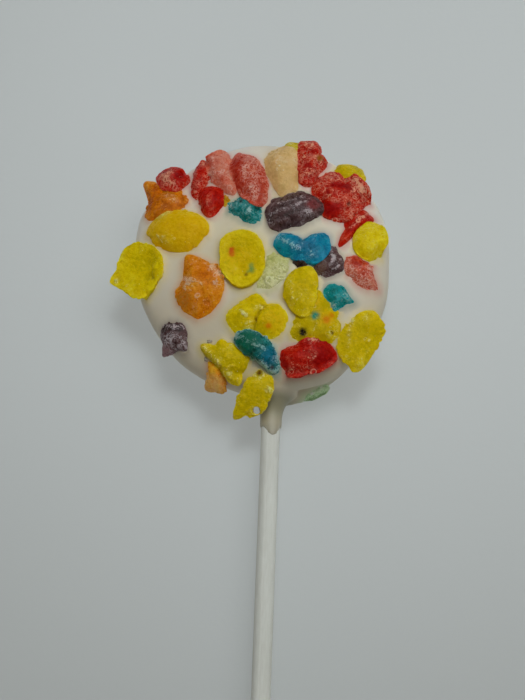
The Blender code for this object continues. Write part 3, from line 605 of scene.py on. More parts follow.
        ("fold", -1.8, 2.4, 0.5, 0.3, (2.4, 2.2)))),
    Flake("lower_tail", "yellow", (-5.7, -20.1), (4.3, 3.9, 4.1, 5.2, 1.9, 1.4, 2.5, 4.5),
        {20: 4.9, 98: 4.5, 120: 3.7, 144: 5.9, 160: 3.6, 300: 4.8, 328: 3.7}, lift=1.1, frost=0.1, tone=-0.6, marks=(
        ("bubble", -3.2, 2.4, 0.5, 0.4), ("bubble", 1.0, 1.6, 0.6, 0.4), ("ring", 0.4, -1.6, 0.6, 0.15),
        ("pit", -1.6, 1.4, 0.7, 0.3), ("fold", -3.8, 3.2, 0.4, 0.25, (-0.8, 0.2)), ("deep", 2.4, 1.4, 1.0, 0.5))),
    # Its tan stain and high tone make it paler than its own colour, as painted light making up for the shade it leans
    # into
    Flake("bottom_left_rim", "orange", (-7.8, -21.8), (1.9, 2.0, 3.0, 1.5, 1.4, 2.8, 3.3, 2.9),
        {80: 3.2, 110: 2.9, 204: 1.8, 232: 3.9, 288: 4.0}, lean=45, ragged=0.2, frost=0.03, tone=0.55, marks=(
        ("tan_tint", -0.4, -1.6, 2.2, 0.6), ("gold_tint", 0.0, 2.0, 1.2, 0.4))),
    Flake("bottom_rim", "yellow", (-1.6, -22.6), (3.9, 5.1, 3.7, 2.0, 2.4, 5.0, 3.9, 3.5),
        {70: 5.3, 210: 3.4, 232: 5.7, 252: 3.8, 338: 3.2}, lift=0.9, lean=25, slide=(0.6, -3.1), knobs=0.4, frost=0.1,
        tone=-0.5, hole=(0.9, -2.7, 0.75), marks=(("brown_speck", 1.5, 4.2, 0.45, 0.9), ("pit", 1.5, 4.2, 0.5, 0.5),
        ("ring", 1.5, 4.2, 0.9, 0.2), ("fold", 3.0, 1.6, 0.3, 0.2, (3.8, 0.8)), ("frost", 3.4, 1.2, 0.6, 0.7),
        ("lump", 1.8, 1.8, 1.3, 0.25), ("lump", -2.8, -3.2, 1.2, 0.25), ("bubble", 0.4, 0.4, 0.8, 0.3),
        ("pit", -0.8, -1.4, 0.9, 0.25))),
    Flake("crumb_by_the_tail", "purple", (-8.9, -16.2), (0.5, 0.2, 0.3, 0.4, 0.2, 0.3, 0.3, 0.2), lift=0.15, knobs=0.0,
        frost=0.0, marks=(("grey_tint", 0.0, 0.0, 2.0, 0.9),)),
    Flake("crumb_at_the_rim", "purple", (-9.5, -19.2), (0.3, 0.2, 0.4, 0.4, 0.2, 0.3, 0.3, 0.5), lift=0.15, knobs=0.0,
        frost=0.0, marks=(("grey_tint", 0.0, 0.0, 2.0, 0.9),)),
    Flake("crumb_between", "golden", (-6.9, 11.2), (0.9, 0.7, 1.1, 0.7, 0.6, 1.0, 1.4, 0.8), lift=0.1, tone=-0.6,
        marks=(("amber", 0.0, 0.2, 1.0, 0.45),)),
    Flake("crumb_in_the_dark", "purple", (7.6, -1.5), (1.8, 1.2, 1.0, 1.0, 1.5, 1.1, 0.8, 1.0), lift=0.35, frost=0.05,
        tone=-1.0),
)

# One more stands on edge against the foot
SIDE_FLAKE = Flake("foot_sliver", "green", (0.0, 0.0), (2.6, 2.2, 1.6, 1.9, 3.8, 1.8, 1.3, 1.6), knobs=0.0, frost=0.0,
        marks=(("deep", 0.8, -0.2, 0.6, 1.3, (-2.2, -0.4)), ("pale", -1.0, 1.2, 0.4, 0.25, (1.6, 1.4))))
SIDE_FLAKE_BEARING = -65.5
SIDE_FLAKE_RADIUS = 24.6
SIDE_FLAKE_HEIGHT = 2.9
SIDE_FLAKE_TILT = 12.0

# What each kind of mark adds to a flake's height, tone, scattered sugar and solid pale crust, and the colour of
# those that stain it. The darker tone of pits and cracks is painted shade in them, white marks are partly sugar and
# partly painted highlights, and deep marks are partly deeper colour and partly painted shade. The dark stain, which
# sits in pits, is painted shade.
EFFECTS = {
    "lump": (1.0, 0.3, 0.0, 0.0), "pit": (-1.0, -1.2, 0.0, 0.0), "ring": (0.6, 0.4, 0.0, 2.0),
    "fold": (0.8, 0.8, 0.0, 1.6), "crack": (-1.0, -1.6, 0.0, 0.0), "bubble": (0.15, 1.0, 0.0, 0.25),
    "frost": (0.05, 0.1, 0.5, 0.5), "white": (0.1, 0.5, 0.0, 1.0), "pale": (0.0, 0.9, 0.1, 0.0),
    "deep": (0.0, -0.9, -0.5, 0.0),
}
STAINS = {
    "dark": (0.012, 0.008, 0.006), "amber": (0.42, 0.12, 0.005), "red_tint": (0.30, 0.02, 0.02),
    "teal_tint": (0.0, 0.30, 0.32), "brown_tint": (0.16, 0.08, 0.05), "red_speck": (0.66, 0.03, 0.0),
    "green_speck": (0.05, 0.30, 0.08), "brown_speck": (0.16, 0.06, 0.0), "orange_speck": (0.78, 0.20, 0.0),
    "teal_speck": (0.0, 0.28, 0.20), "green_tint": (0.0, 0.13, 0.06), "purple_speck": (0.10, 0.03, 0.04),
    "mauve_tint": (0.34, 0.18, 0.19), "tan_tint": (0.95, 0.60, 0.20), "grey_tint": (0.42, 0.37, 0.29),
    "gold_tint": (0.80, 0.50, 0.0), "blue_tint": (0.0, 0.18, 0.32),
}


def crown_normal(x, y):
    slope_x = (crown_height(x + SLOPE_STEP, y) - crown_height(x - SLOPE_STEP, y)) / (2.0 * SLOPE_STEP)
    slope_y = (crown_height(x, y + SLOPE_STEP) - crown_height(x, y - SLOPE_STEP)) / (2.0 * SLOPE_STEP)
    return Vector((-slope_x, -slope_y, 1.0)).normalized()


def flake_frame(flake):
    """The middle of a flake and the directions of its east, north and outward side."""
    x, y = flake.seat
    out = crown_normal(x, y)
    if flake.lean is not None:
        lean = math.radians(flake.lean)
        bearing = math.atan2(y, x)
        out = Vector((math.cos(bearing) * math.sin(lean), math.sin(bearing) * math.sin(lean), math.cos(lean)))
    east = (Vector((1.0, 0.0, 0.0)) - out * out.x).normalized()
    north = out.cross(east)
    middle = Vector((x, y, float(crown_height(x, y)))) + out * flake.lift
    return middle + east * flake.slide[0] + north * flake.slide[1], east, north, out


def side_flake_frame():
    """The same for the flake that stands against the foot, tilted back a little from upright."""
    bearing = math.radians(SIDE_FLAKE_BEARING)
    tilt = math.radians(SIDE_FLAKE_TILT)
    outward = Vector((math.cos(bearing), math.sin(bearing), 0.0))
    out = outward * math.cos(tilt) + Vector((0.0, 0.0, math.sin(tilt)))
    east = Vector((0.0, 0.0, 1.0)).cross(outward)
    return outward * SIDE_FLAKE_RADIUS + Vector((0.0, 0.0, SIDE_FLAKE_HEIGHT)), east, out.cross(east), out


def reach_at(flake, spread, bearing, seed):
    """How far each point of a flake is from its middle: soft corners, and an edge that is ragged only in places."""
    known = {45 * i: reach for i, reach in enumerate(flake.reach)}
    known.update(flake.corners)
    bearings = sorted(known)
    round_once = np.arange(360.0)
    whole = np.interp(round_once, bearings, [known[b] for b in bearings], period=360)
    window = np.exp(-(np.arange(-CORNER_WINDOW, CORNER_WINDOW + 1.0) / CORNER_SOFTNESS) ** 2)
    soft = np.convolve(np.concatenate((whole[-CORNER_WINDOW:], whole, whole[:CORNER_WINDOW])), window / window.sum(),
                       mode="valid")
    chance = np.random.default_rng(seed)
    ragged = sum(np.sin(np.radians(round_once) * waves + chance.uniform(*ANY_TURN)) * chance.uniform(0.6, 1.4)
                 * (RAGGED_WAVES[0] / waves) ** 0.5 for waves in RAGGED_WAVES)
    torn = np.sin(np.radians(round_once) * chance.integers(2, 5) + chance.uniform(*ANY_TURN)) * 0.5 + 0.5
    return (spread * np.interp(bearing, round_once, soft, period=360)
            + spread ** RAGGED_EDGE * flake.ragged * np.interp(bearing, round_once, ragged * torn, period=360))


def flat_shell(cells):
    """Spread, bearing and height of the points of a round flat shell with even cells, and its faces."""
    line = np.linspace(-1.0, 1.0, cells + 1)
    u, v = np.meshgrid(line, line, indexing="ij")
    side_on = np.abs(u) > np.abs(v)
    safe_u = np.where(u == 0.0, 1.0, u)
    safe_v = np.where(v == 0.0, 1.0, v)
    signed = np.where(side_on, u, v)
    angle = np.where(side_on, math.pi / 4.0 * v / safe_u, math.pi / 2.0 - math.pi / 4.0 * u / safe_v)
    x = signed * np.cos(angle)
    y = signed * np.sin(angle)
    spread = np.hypot(x, y).ravel() * TOP_SHARE
    bearing = np.degrees(np.arctan2(y, x)).ravel()
    rise = np.sqrt(1.0 - spread ** (2.0 / FLAKE_FULLNESS))
    number = np.arange((cells + 1) ** 2).reshape(cells + 1, cells + 1)
    rim = np.concatenate((number[:-1, 0], number[-1, :-1], number[:0:-1, -1], number[0, :0:-1]))
    top_angle = math.asin(TOP_SHARE ** (1.0 / FLAKE_FULLNESS))
    spreads, bearings, rises, loops = [spread], [bearing], [rise], [rim]
    for step in range(1, EDGE_STEPS):
        polar = top_angle + (math.pi - 2.0 * top_angle) * step / EDGE_STEPS
        loops.append(sum(len(part) for part in spreads) + np.arange(len(rim)))
        spreads.append(np.full(len(rim), math.sin(polar) ** FLAKE_FULLNESS))
        bearings.append(bearing[rim])
        rises.append(np.full(len(rim), math.cos(polar)))
    under = sum(len(part) for part in spreads)
    loops.append(rim + under)
    spreads.append(spread)
    bearings.append(bearing)
    rises.append(-rise)
    a, b, c, d = number[:-1, :-1].ravel(), number[1:, :-1].ravel(), number[1:, 1:].ravel(), number[:-1, 1:].ravel()
    bands = [np.stack((above, below, np.roll(below, -1), np.roll(above, -1)), 1)
             for above, below in zip(loops, loops[1:])]
    return (np.concatenate(spreads), np.concatenate(bearings), np.concatenate(rises),
            np.stack((a, b, c, d), 1), under, np.concatenate(bands))


def pierced(x, y, top, under, hole):
    """The faces of both sides without those over a hole, the wall of the hole, and its points drawn to a circle."""
    hole_x, hole_y, radius = hole
    far = np.hypot(x - hole_x, y - hole_y)
    gone = (far[top] < radius * HOLE_CLEARANCE).all(axis=1)
    edges = dict.fromkeys(edge for face in top[gone].tolist() for edge in zip(face, face[1:] + face[:1]))
    wall = [(first, second, second + under, first + under) for first, second in edges if (second, first) not in edges]
    ring = np.unique(wall)
    stretch = radius / np.maximum(far[ring], 0.01)
    x[ring] = hole_x + (x[ring] - hole_x) * stretch
    y[ring] = hole_y + (y[ring] - hole_y) * stretch
    return top[~gone], np.array(wall)


def ground_under(ground, points):
    """The height of what is already on the head, at places between the ground's own points."""
    place = (points[:, :2] + GROUND_HALF) / GROUND_CELL
    low = np.floor(place).astype(int)
    east, north = (place - low).T
    i, j = low.T
    return ((ground[i, j] * (1.0 - east) + ground[i + 1, j] * east) * (1.0 - north)
            + (ground[i, j + 1] * (1.0 - east) + ground[i + 1, j + 1] * east) * north)


def mark_share(mark, x, y):
    """1 at a mark's middle or along its line and 0 well away from it; a ring is 1 at its radius."""
    if mark.end:
        along = np.array((mark.end[0] - mark.x, mark.end[1] - mark.y))
        place = np.clip(((x - mark.x) * along[0] + (y - mark.y) * along[1]) / (along @ along), 0.0, 1.0)
        return np.exp(-((x - mark.x - along[0] * place) ** 2 + (y - mark.y - along[1] * place) ** 2) / mark.size ** 2)
    far = np.hypot(x - mark.x, y - mark.y)
    if mark.kind == "ring":
        return np.exp(-((far - mark.size) / (RING_WIDTH * mark.size)) ** 2)
    return np.exp(-(far / mark.size) ** 2)


def flake_blank(flake, place, ground, seed):
    """A flake's points in millimetres, its faces, and how it looks at each point: its shades and its stain."""
    middle, east, north, out = (np.array(part) for part in place)
    size = sum(flake.reach) / len(flake.reach)
    cells = 2 * max(round(size / CELL), FEWEST_CELLS)
    spread, bearing, rise, top, under, bands = flat_shell(cells)
    reach = reach_at(flake, spread, bearing, seed)
    x = reach * np.cos(np.radians(bearing))
    y = reach * np.sin(np.radians(bearing))
    faces = [top, bands]
    if flake.hole:
        top, wall = pierced(x, y, top, under, flake.hole)
        faces = [top, bands, wall]
    faces.append(top[:, ::-1] + under)
    upper = np.clip(rise * MARK_STEEPNESS, 0.0, 1.0)
    half = min(FLAKE_HALF, THICKEST_SHARE * size)
    looks = {
        "height": rise * half * (1.0 - EDGE_THINNING * spread ** 4) + flake.cup * (spread ** 2 - CUP_LEVEL),
        # Painted light: the rim is made paler, as if lit through its thin edge
        "tone": flake.tone + EDGE_PAINTED_GLOW * (spread ** 4 - EDGE_PAINTED_GLOW_LEVEL),
        "frost": np.full(len(x), flake.frost),
        "crust": flake.rim * np.clip(spread * RIM_STEEPNESS - (RIM_STEEPNESS - 1.0), 0.0, 1.0),
        "knobs": flake.knobs * (1.0 - EDGE_CALM * spread ** 4),
    }
    stain = np.zeros((len(x), 4))
    for mark in (Mark(*mark) for mark in flake.marks):
        share = mark_share(mark, x, y) * upper
        if mark.kind in STAINS:
            weight = np.minimum(share * STAIN_FILL, 1.0)[:, None] * mark.amount
            stain = stain * (1.0 - weight) + weight * np.array((*STAINS[mark.kind], 1.0))
        else:
            for name, effect in zip(("height", "tone", "frost", "crust"), EFFECTS[mark.kind]):
                looks[name] = looks[name] + share * mark.amount * effect
    stain[:, :3] /= np.maximum(stain[:, 3:], 0.001)
    points = middle + np.outer(x, east) + np.outer(y, north) + np.outer(looks.pop("height"), out)
    if flake is not SIDE_FLAKE:
        radius = np.hypot(points[:, 0], points[:, 1])
        rim = rim_radius(np.degrees(np.arctan2(points[:, 1], points[:, 0])))
        inside = np.clip((rim - RIM_MARGIN - radius) / RIM_BLEND, 0.0, 1.0)
        above = points[:, 2] - crown_height(points[:, 0], points[:, 1])
        draped = FLAKE_DRAPE * np.maximum(above - 2.0 * FLAKE_HALF, 0.0)
        sunk = np.minimum(np.maximum(above + FLAKE_SINK, 0.0), DEEPEST_DROP)
        points[:, 2] -= inside * np.where(rise > DRAPED_RISE, draped, sunk)
        above = points[:, 2] - ground_under(ground, points)
        sag = flake.sag * inside * spread ** 3 * np.maximum(above - EDGE_HEIGHT, 0.0)
        points += np.outer(np.where(rise > DRAPED_RISE, sag, 0.0), SAG_SLIDE)
        top = points[rise > TOP_RISE]
        np.maximum.at(ground, tuple(((top[:, :2] + GROUND_HALF) / GROUND_CELL).astype(int).T), top[:, 2])
    return points, np.concatenate(faces), looks, stain


steps = np.arange(-GROUND_HALF, GROUND_HALF, GROUND_CELL)
ground = crown_height(*np.meshgrid(steps, steps, indexing="ij"))
lowest_first = sorted(FLAKES, key=lambda flake: flake.lift)
blanks = [(flake, flake_blank(flake, flake_frame(flake), ground, seed)) for seed, flake in enumerate(lowest_first)]
blanks.append((SIDE_FLAKE, flake_blank(SIDE_FLAKE, side_flake_frame(), ground, len(FLAKES))))


def flake_group(chosen):
    """One mesh with all the chosen blanks, which keeps how each point looks."""
    starts = np.cumsum([0] + [len(blank[0]) for _, blank in chosen])
    mesh = mesh_from("flakes", np.concatenate([blank[0] for _, blank in chosen]),
                     np.concatenate([blank[1] + start for (_, blank), start in zip(chosen, starts)]).tolist())
    for name in ("knobs", "tone", "frost", "crust"):
        kept = mesh.attributes.new(name, "FLOAT", "POINT")
        kept.data.foreach_set("value", np.concatenate([blank[2][name] for _, blank in chosen]).astype(np.float32))
    colours = {"stain": [blank[3] for _, blank in chosen],
               "dye": [np.tile((*DYES[flake.colour].plain, 1.0), (len(blank[0]), 1)) for flake, blank in chosen]}
    for name, parts in colours.items():
        kept = mesh.attributes.new(name, "FLOAT_COLOR", "POINT")
        kept.data.foreach_set("color", np.concatenate(parts).astype(np.float32).ravel())
    return mesh


SOCKET_KINDS = {float: "NodeSocketFloat", int: "NodeSocketInt", "material": "NodeSocketMaterial",
                "object": "NodeSocketObject"}


def new_shape(name, sizes):
    """A Geometry Nodes tree with a named input for each size, and the wires from those inputs."""
    tree = bpy.data.node_groups.new(name, "GeometryNodeTree")
    tree.interface.new_socket("Geometry", in_out="INPUT", socket_type="NodeSocketGeometry")
    tree.interface.new_socket("Geometry", in_out="OUTPUT", socket_type="NodeSocketGeometry")
    for label, value in sizes.items():
        kind = value if isinstance(value, str) else type(value)
        socket = tree.interface.new_socket(label, in_out="INPUT", socket_type=SOCKET_KINDS[kind])
        if not isinstance(value, str):
            socket.default_value = value
    entry = tree.nodes.new("NodeGroupInput")
    return tree, {socket.name: Wire(tree, socket) for socket in entry.outputs if socket.name}


def end_shape(geometry, material):
    """Ends a tree: smooth shading, real geometry in place of instances, and the material."""
    smooth = geometry.node("GeometryNodeSetShadeSmooth", None, {"Geometry": geometry})
    real = smooth.node("GeometryNodeRealizeInstances", None, {"Geometry": smooth})
    coated = real.node("GeometryNodeSetMaterial", None, {"Geometry": real, "Material": material})
    coated.feed(coated.tree.nodes.new("NodeGroupOutput").inputs["Geometry"])


def run_shape(made, tree, values):
    """Runs a tree on an object with its own values for the named inputs, and keeps the result as a plain mesh."""
    modifier = made.modifiers.new(tree.name, "NODES")
    modifier.node_group = tree
    for item in tree.interface.items_tree:
        if item.item_type == "SOCKET" and item.in_out == "INPUT" and item.name in values:
            modifier[item.identifier] = values[item.name]
    settle_modifiers(made)


def kept_value(wire, name, kind="FLOAT"):
    """In a tree, what the mesh keeps at each point under a name."""
    return wire.node("GeometryNodeInputNamedAttribute", {"data_type": kind}, {"Name": name})


def keep_value(geometry, name, value, kind="FLOAT"):
    """In a tree, the geometry with a value kept at each point under a name."""
    return geometry.node("GeometryNodeStoreNamedAttribute", {"data_type": kind, "domain": "POINT"},
                         {"Geometry": geometry, "Name": name, "Value": value})


def thin_lines(value, sharpness):
    """1 in thin lines where a value passes through zero, and 0 beside them."""
    return 1.0 - (value.maths("ABSOLUTE") * sharpness).kept_in()


puffing, puff = new_shape("puffed_cereal", {
    "Swell Size": 3.0 * MM, "Swell Height": 0.28 * MM,
    "Wrinkle Size": 1.6 * MM, "Wrinkle Height": 0.16 * MM,
    "Knob Size": 0.95 * MM, "Knob Height": 0.42 * MM,
    "Grain Size": 0.4 * MM, "Grain Height": 0.05 * MM,
    "Crystal Size": 0.075 * MM, "Crystals per mm2": 2.0,
    "Seed": 1, "Material": "material",
})
spot = puff["Geometry"].node("GeometryNodeInputPosition")
knobbliness = kept_value(spot, "knobs")
sugariness = kept_value(spot, "frost")
swell = spot.noise(1.0 / puff["Swell Size"], detail=1.0, distortion=0.3) - 0.5
wrinkle = thin_lines(spot.noise(1.0 / puff["Wrinkle Size"], distortion=0.6) - 0.5, sharpness=9.0)
cell = spot.node("ShaderNodeTexVoronoi", {"feature": "SMOOTH_F1"},
                 {"Vector": spot, "Scale": 1.0 / puff["Knob Size"], "Smoothness": 0.6})
grain = spot.noise(1.0 / puff["Grain Size"]) - 0.5
knob = (0.5 - cell).kept_in(-0.3, 0.5) * knobbliness
crease = wrinkle * (0.25 + knobbliness * 0.75)
height = (swell * 2.0 * puff["Swell Height"] + knob * puff["Knob Height"]
          + crease * puff["Wrinkle Height"] + grain * 2.0 * puff["Grain Height"])
# The relief is kept for the finish, which paints the cereal darker in its hollows and paler on its crests: partly its
# own colour, partly painted shade and light
relieved = keep_value(puff["Geometry"], "relief", knob * 1.6 + swell * 1.6 + crease * 0.5 - 0.2)
raised = spot.node("GeometryNodeSetPosition", None, {
    "Geometry": relieved, "Offset": spot.node("GeometryNodeInputNormal") * height})
scattered = spot.node("GeometryNodeDistributePointsOnFaces", None, {
    "Mesh": raised, "Density": puff["Crystals per mm2"] * 1e6 * sugariness.kept_in(0.05, 1.2), "Seed": puff["Seed"]})
crystal = spot.node("GeometryNodeMeshIcoSphere", None, {"Radius": puff["Crystal Size"], "Subdivisions": 1})
crystal = keep_value(crystal, "sugar", 1.0)
tumble = spot.node("FunctionNodeRandomValue", {"data_type": "FLOAT_VECTOR"},
                   {"Min": (ANY_TURN[0],) * 3, "Max": (ANY_TURN[1],) * 3, "Seed": puff["Seed"]})
squash = spot.node("FunctionNodeRandomValue", {"data_type": "FLOAT_VECTOR"},
                   {"Min": (0.4, 0.4, 0.3), "Max": (1.7, 1.3, 0.9), "Seed": puff["Seed"] + 1})
grains = spot.node("GeometryNodeInstanceOnPoints", None,
                   {"Points": scattered, "Instance": crystal, "Rotation": tumble, "Scale": squash})
joined = spot.node("GeometryNodeJoinGeometry")
for part in (grains, raised):
    part.feed(joined.socket.node.inputs[0])
end_shape(joined, puff["Material"])

# Each colour: deep in the hollows, plain on the flats and bright on the crests, which is partly the cereal's own richer
# colour in its crevices and partly painted shade in the hollows and painted light on the crests; the pale of its sugar,
# how far light of each primary colour goes inside it, and how much it shines
Dye = namedtuple("Dye", "deep plain bright pale glow shine")
DYES = {colour: Dye(*values) for colour, values in {
    "yellow": ((0.61, 0.45, 0.0), (0.80, 0.59, 0.0), (0.91, 0.74, 0.01), (0.92, 0.84, 0.30), (1.0, 0.8, 0.1), 0.08),
    "golden": ((0.72, 0.40, 0.0), (0.82, 0.48, 0.0), (0.90, 0.60, 0.01), (0.92, 0.74, 0.24), (1.0, 0.7, 0.1), 0.08),
    "orange": ((0.50, 0.10, 0.0), (0.76, 0.225, 0.0), (0.86, 0.36, 0.005), (0.92, 0.60, 0.38), (1.0, 0.4, 0.1), 0.12),
    "peach": ((0.70, 0.43, 0.15), (0.80, 0.52, 0.20), (0.87, 0.64, 0.30), (0.92, 0.78, 0.52), (1.0, 0.7, 0.4), 0.25),
    "red": ((0.34, 0.0, 0.0), (0.58, 0.008, 0.0), (0.70, 0.05, 0.012), (0.92, 0.46, 0.30), (1.0, 0.15, 0.08), 0.13),
    "pink": ((0.46, 0.025, 0.01), (0.64, 0.085, 0.04), (0.78, 0.21, 0.12), (0.90, 0.52, 0.42), (1.0, 0.3, 0.2), 0.15),
    "purple": (
        (0.032, 0.012, 0.010), (0.10, 0.045, 0.045), (0.20, 0.12, 0.12), (0.62, 0.54, 0.55), (1.0, 0.6, 0.6), 0.25),
    "blue": ((0.0, 0.09, 0.16), (0.0, 0.20, 0.34), (0.0, 0.34, 0.51), (0.50, 0.76, 0.80), (0.1, 0.6, 1.0), 0.2),
    "teal": ((0.0, 0.055, 0.045), (0.0, 0.18, 0.165), (0.005, 0.34, 0.35), (0.48, 0.72, 0.68), (0.1, 0.8, 0.8), 0.2),
    "cream": ((0.36, 0.40, 0.12), (0.60, 0.60, 0.22), (0.76, 0.75, 0.34), (0.88, 0.87, 0.52), (1.0, 1.0, 0.6), 0.25),
    # The green is made paler than the sliver's own colour, as painted light making up for the shade at the foot where
    # it stands
    "green": ((0.20, 0.36, 0.12), (0.55, 0.78, 0.42), (0.84, 0.94, 0.76), (0.90, 0.94, 0.88), (0.6, 1.0, 0.5), 0.25),
}.items()}
GLOW_DEPTH = 0.7
GLOW_SHARE = 0.4
CEREAL_BUMP = 0.2

# Patches of each of the cereal's patterns to the metre, and how far in millimetres the bubbles are drawn out of round
CEREAL_CLOUD = 450.0
CEREAL_MOTTLE = 1500.0
CEREAL_FINE = 3200.0
CEREAL_THREAD = 900.0
CEREAL_DRIFT = 1100.0
CEREAL_BUBBLE = 650.0
BUBBLE_DRIFT = 0.9


def cereal_finish(colour, dye):
    """Dyed puffed rice: it glows a little inside, and is deeper in its hollows and paler on its crests, partly its own
    colour and partly painted shade and light, with grains of dried sugar on it.
    """
    finish, shader, place = new_finish("dyed_cereal_" + colour, {
        "IOR": 1.45,
        "Specular IOR Level": dye.shine,
        "Subsurface Weight": GLOW_SHARE,
        "Subsurface Radius": dye.glow,
        "Subsurface Scale": GLOW_DEPTH * MM,
    })
    relief, frost, sugar, tone, crust = (
        place.attribute(name) for name in ("relief", "frost", "sugar", "tone", "crust"))
    cloud = place.noise(CEREAL_CLOUD) - 0.5
    mottle = place.noise(CEREAL_MOTTLE, detail=3.0) - 0.5
    fine = place.noise(CEREAL_FINE) - 0.5
    thread = thin_lines(place.noise(CEREAL_THREAD, distortion=1.2) - 0.5, sharpness=11.0)

    # Bubbles just under the skin: dried sugar rings some of them, and a few have burst into hollows, which the colour
    # below darkens as painted shade
    drift = place.noise(CEREAL_DRIFT, detail=1.0, output="Color") * (BUBBLE_DRIFT * MM)
    bubble = place.node("ShaderNodeTexVoronoi", {"feature": "F1"}, {"Vector": place + drift, "Scale": CEREAL_BUBBLE})
    chances = Wire(place.tree, bubble.socket.node.outputs["Color"])
    chance = chances.axis("X")
    dome = 1.0 - bubble.between(0.02, 0.15 + chances.axis("Y") * 0.4)
    sugared = (frost * 1.4 + 0.05 - chance).between(0.0, 0.1)
    blister = dome.between(0.05, 0.3) * (1.0 - dome.between(0.35, 0.7)) * sugared
    hollow = dome * (chance - 0.9).between(0.0, 0.05)

    # Its colour from hollow to crest, darker in hollows and burst bubbles and paler on crests, partly its own colour
    # and partly painted shade and light; then the sugar on it, and last the stains
    depth = (0.56 + relief * 0.25 + cloud + mottle + fine * 0.9 + tone * 0.5 - hollow * 0.35).kept_in()
    body = blend_colours((depth * 2.0).kept_in(), dye.deep, dye.plain)
    body = blend_colours((depth * 2.0 - 1.0).kept_in(), body, dye.bright)
    dusting = (frost * 2.0 + cloud * 2.0 - 0.15).kept_in()
    laced = dusting * (thread.between(0.3, 0.9) * 0.8 + fine.between(0.08, 0.16) * 0.35)
    caked = (crust + (mottle + fine) * 1.1 - 0.3).between(0.0, 0.25) * crust.between(0.0, 0.2)
    pale = (laced + blister * 0.5 + caked * 0.75 + crust.kept_in() * 0.15 + sugar * 0.9).kept_in(0.0, 0.95)
    surface = blend_colours(pale, body, dye.pale)
    stained = place.attribute("stain", "Alpha")
    stained = (stained + (mottle + fine) * stained.between(0.0, 0.3)).kept_in()
    surface = blend_colours(stained * (1.0 - caked * 0.4), surface, place.attribute("stain", "Color"))
    roughness = (0.3 + pale * 0.3 + mottle * 0.4).kept_in(0.15, 0.9)
    connect(shader, surface, roughness, mottle + fine * 0.6 + pale * 0.4 - hollow * 0.3, CEREAL_BUMP)
    return finish


for seed, (colour, dye) in enumerate(DYES.items()):
    flakes = new_object("flakes_" + colour, flake_group([made for made in blanks if made[0].colour == colour]))
    run_shape(flakes, puffing, {"Seed": seed + 1, "Material": cereal_finish(colour, dye)})
    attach(flakes, "root")
    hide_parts("coated_head")

# The coat again, now that the flakes are on it. While wet it crept a little way up each of them, and its face set
# slightly wavy, with its back flat. The stick's bore is cut last, so that the coating ends cleanly on the paper.

BORE_TIGHTNESS = 0.02
BORE_START = -1.1
BORE_END = 40.0
BORE_SEGMENTS = 96

welling, well = new_shape("set_coating", {
    "Flakes": "object", "Well Height": 0.3 * MM, "Well Width": 0.7 * MM,
    "Wave Size": 9.0 * MM, "Wave Height": 0.18 * MM, "Flat Back": 2.0 * MM, "Material": "material",
})
spot = well["Geometry"].node("GeometryNodeInputPosition")
toppings = spot.node("GeometryNodeObjectInfo", {"transform_space": "ORIGINAL"}, {"Object": well["Flakes"]},
                     "Geometry")
near = spot.node("GeometryNodeProximity", {"target_element": "FACES"}, {0: toppings}, "Distance")
nearest_dye = spot.node("GeometryNodeSampleNearestSurface", {"data_type": "FLOAT_COLOR"},
                        {"Mesh": toppings, "Value": kept_value(spot, "dye", "FLOAT_COLOR")})
risen = (near / well["Well Width"] * -1.0).maths("EXPONENT")
wave = (spot.noise(1.0 / well["Wave Size"], detail=1.0) - 0.5) * 2.0
free = (spot.axis("Z") / well["Flat Back"]).kept_in()
moved = risen * well["Well Height"] + wave * well["Wave Height"] * free
# The nearest flake's colour and the distance to it are kept for the coat's finish, which tints the coat beside each
# flake: partly the flake's dye, partly painted shade
dyed = keep_value(well["Geometry"], "dye", nearest_dye, "FLOAT_COLOR")
dyed = keep_value(dyed, "near", near / MM)
crept = spot.node("GeometryNodeSetPosition", None, {
    "Geometry": dyed, "Offset": spot.node("GeometryNodeInputNormal") * moved})
end_shape(crept, well["Material"])

pressed = new_object("pressed_flakes", flake_group([made for made in blanks if "crumb_" not in made[0].name]))
run_shape(white_coat, welling, {"Flakes": pressed, "Material": coat_finish})
bpy.data.objects.remove(pressed, do_unlink=True)

build = bmesh.new()
bore_radius = (STICK_RADIUS - BORE_TIGHTNESS) * MM
bmesh.ops.create_cone(build, cap_ends=True, segments=BORE_SEGMENTS, radius1=bore_radius, radius2=bore_radius,
                      depth=(BORE_END - BORE_START) * MM)
bmesh.ops.transform(build, verts=build.verts, matrix=Matrix.Translation(
    Vector((STICK_X, -(BORE_START + BORE_END) / 2.0, STICK_Z)) * MM) @ Matrix.Rotation(math.pi / 2.0, 4, "X"))
bore = new_object("bore", mesh_of("bore", build))
cut = white_coat.modifiers.new("Stick bore", "BOOLEAN")
cut.object = bore
settle_modifiers(white_coat)
bpy.data.objects.remove(bore, do_unlink=True)

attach(white_coat, "root")
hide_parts("coated_head")

# The stick. White paper rolled up tight on itself into a rod, so one straight edge of the sheet shows along its
# length and the roll shows as a spiral on its ends. It is pushed 25 mm into the head.

STICK_START = -0.8
STICK_END = 149.2

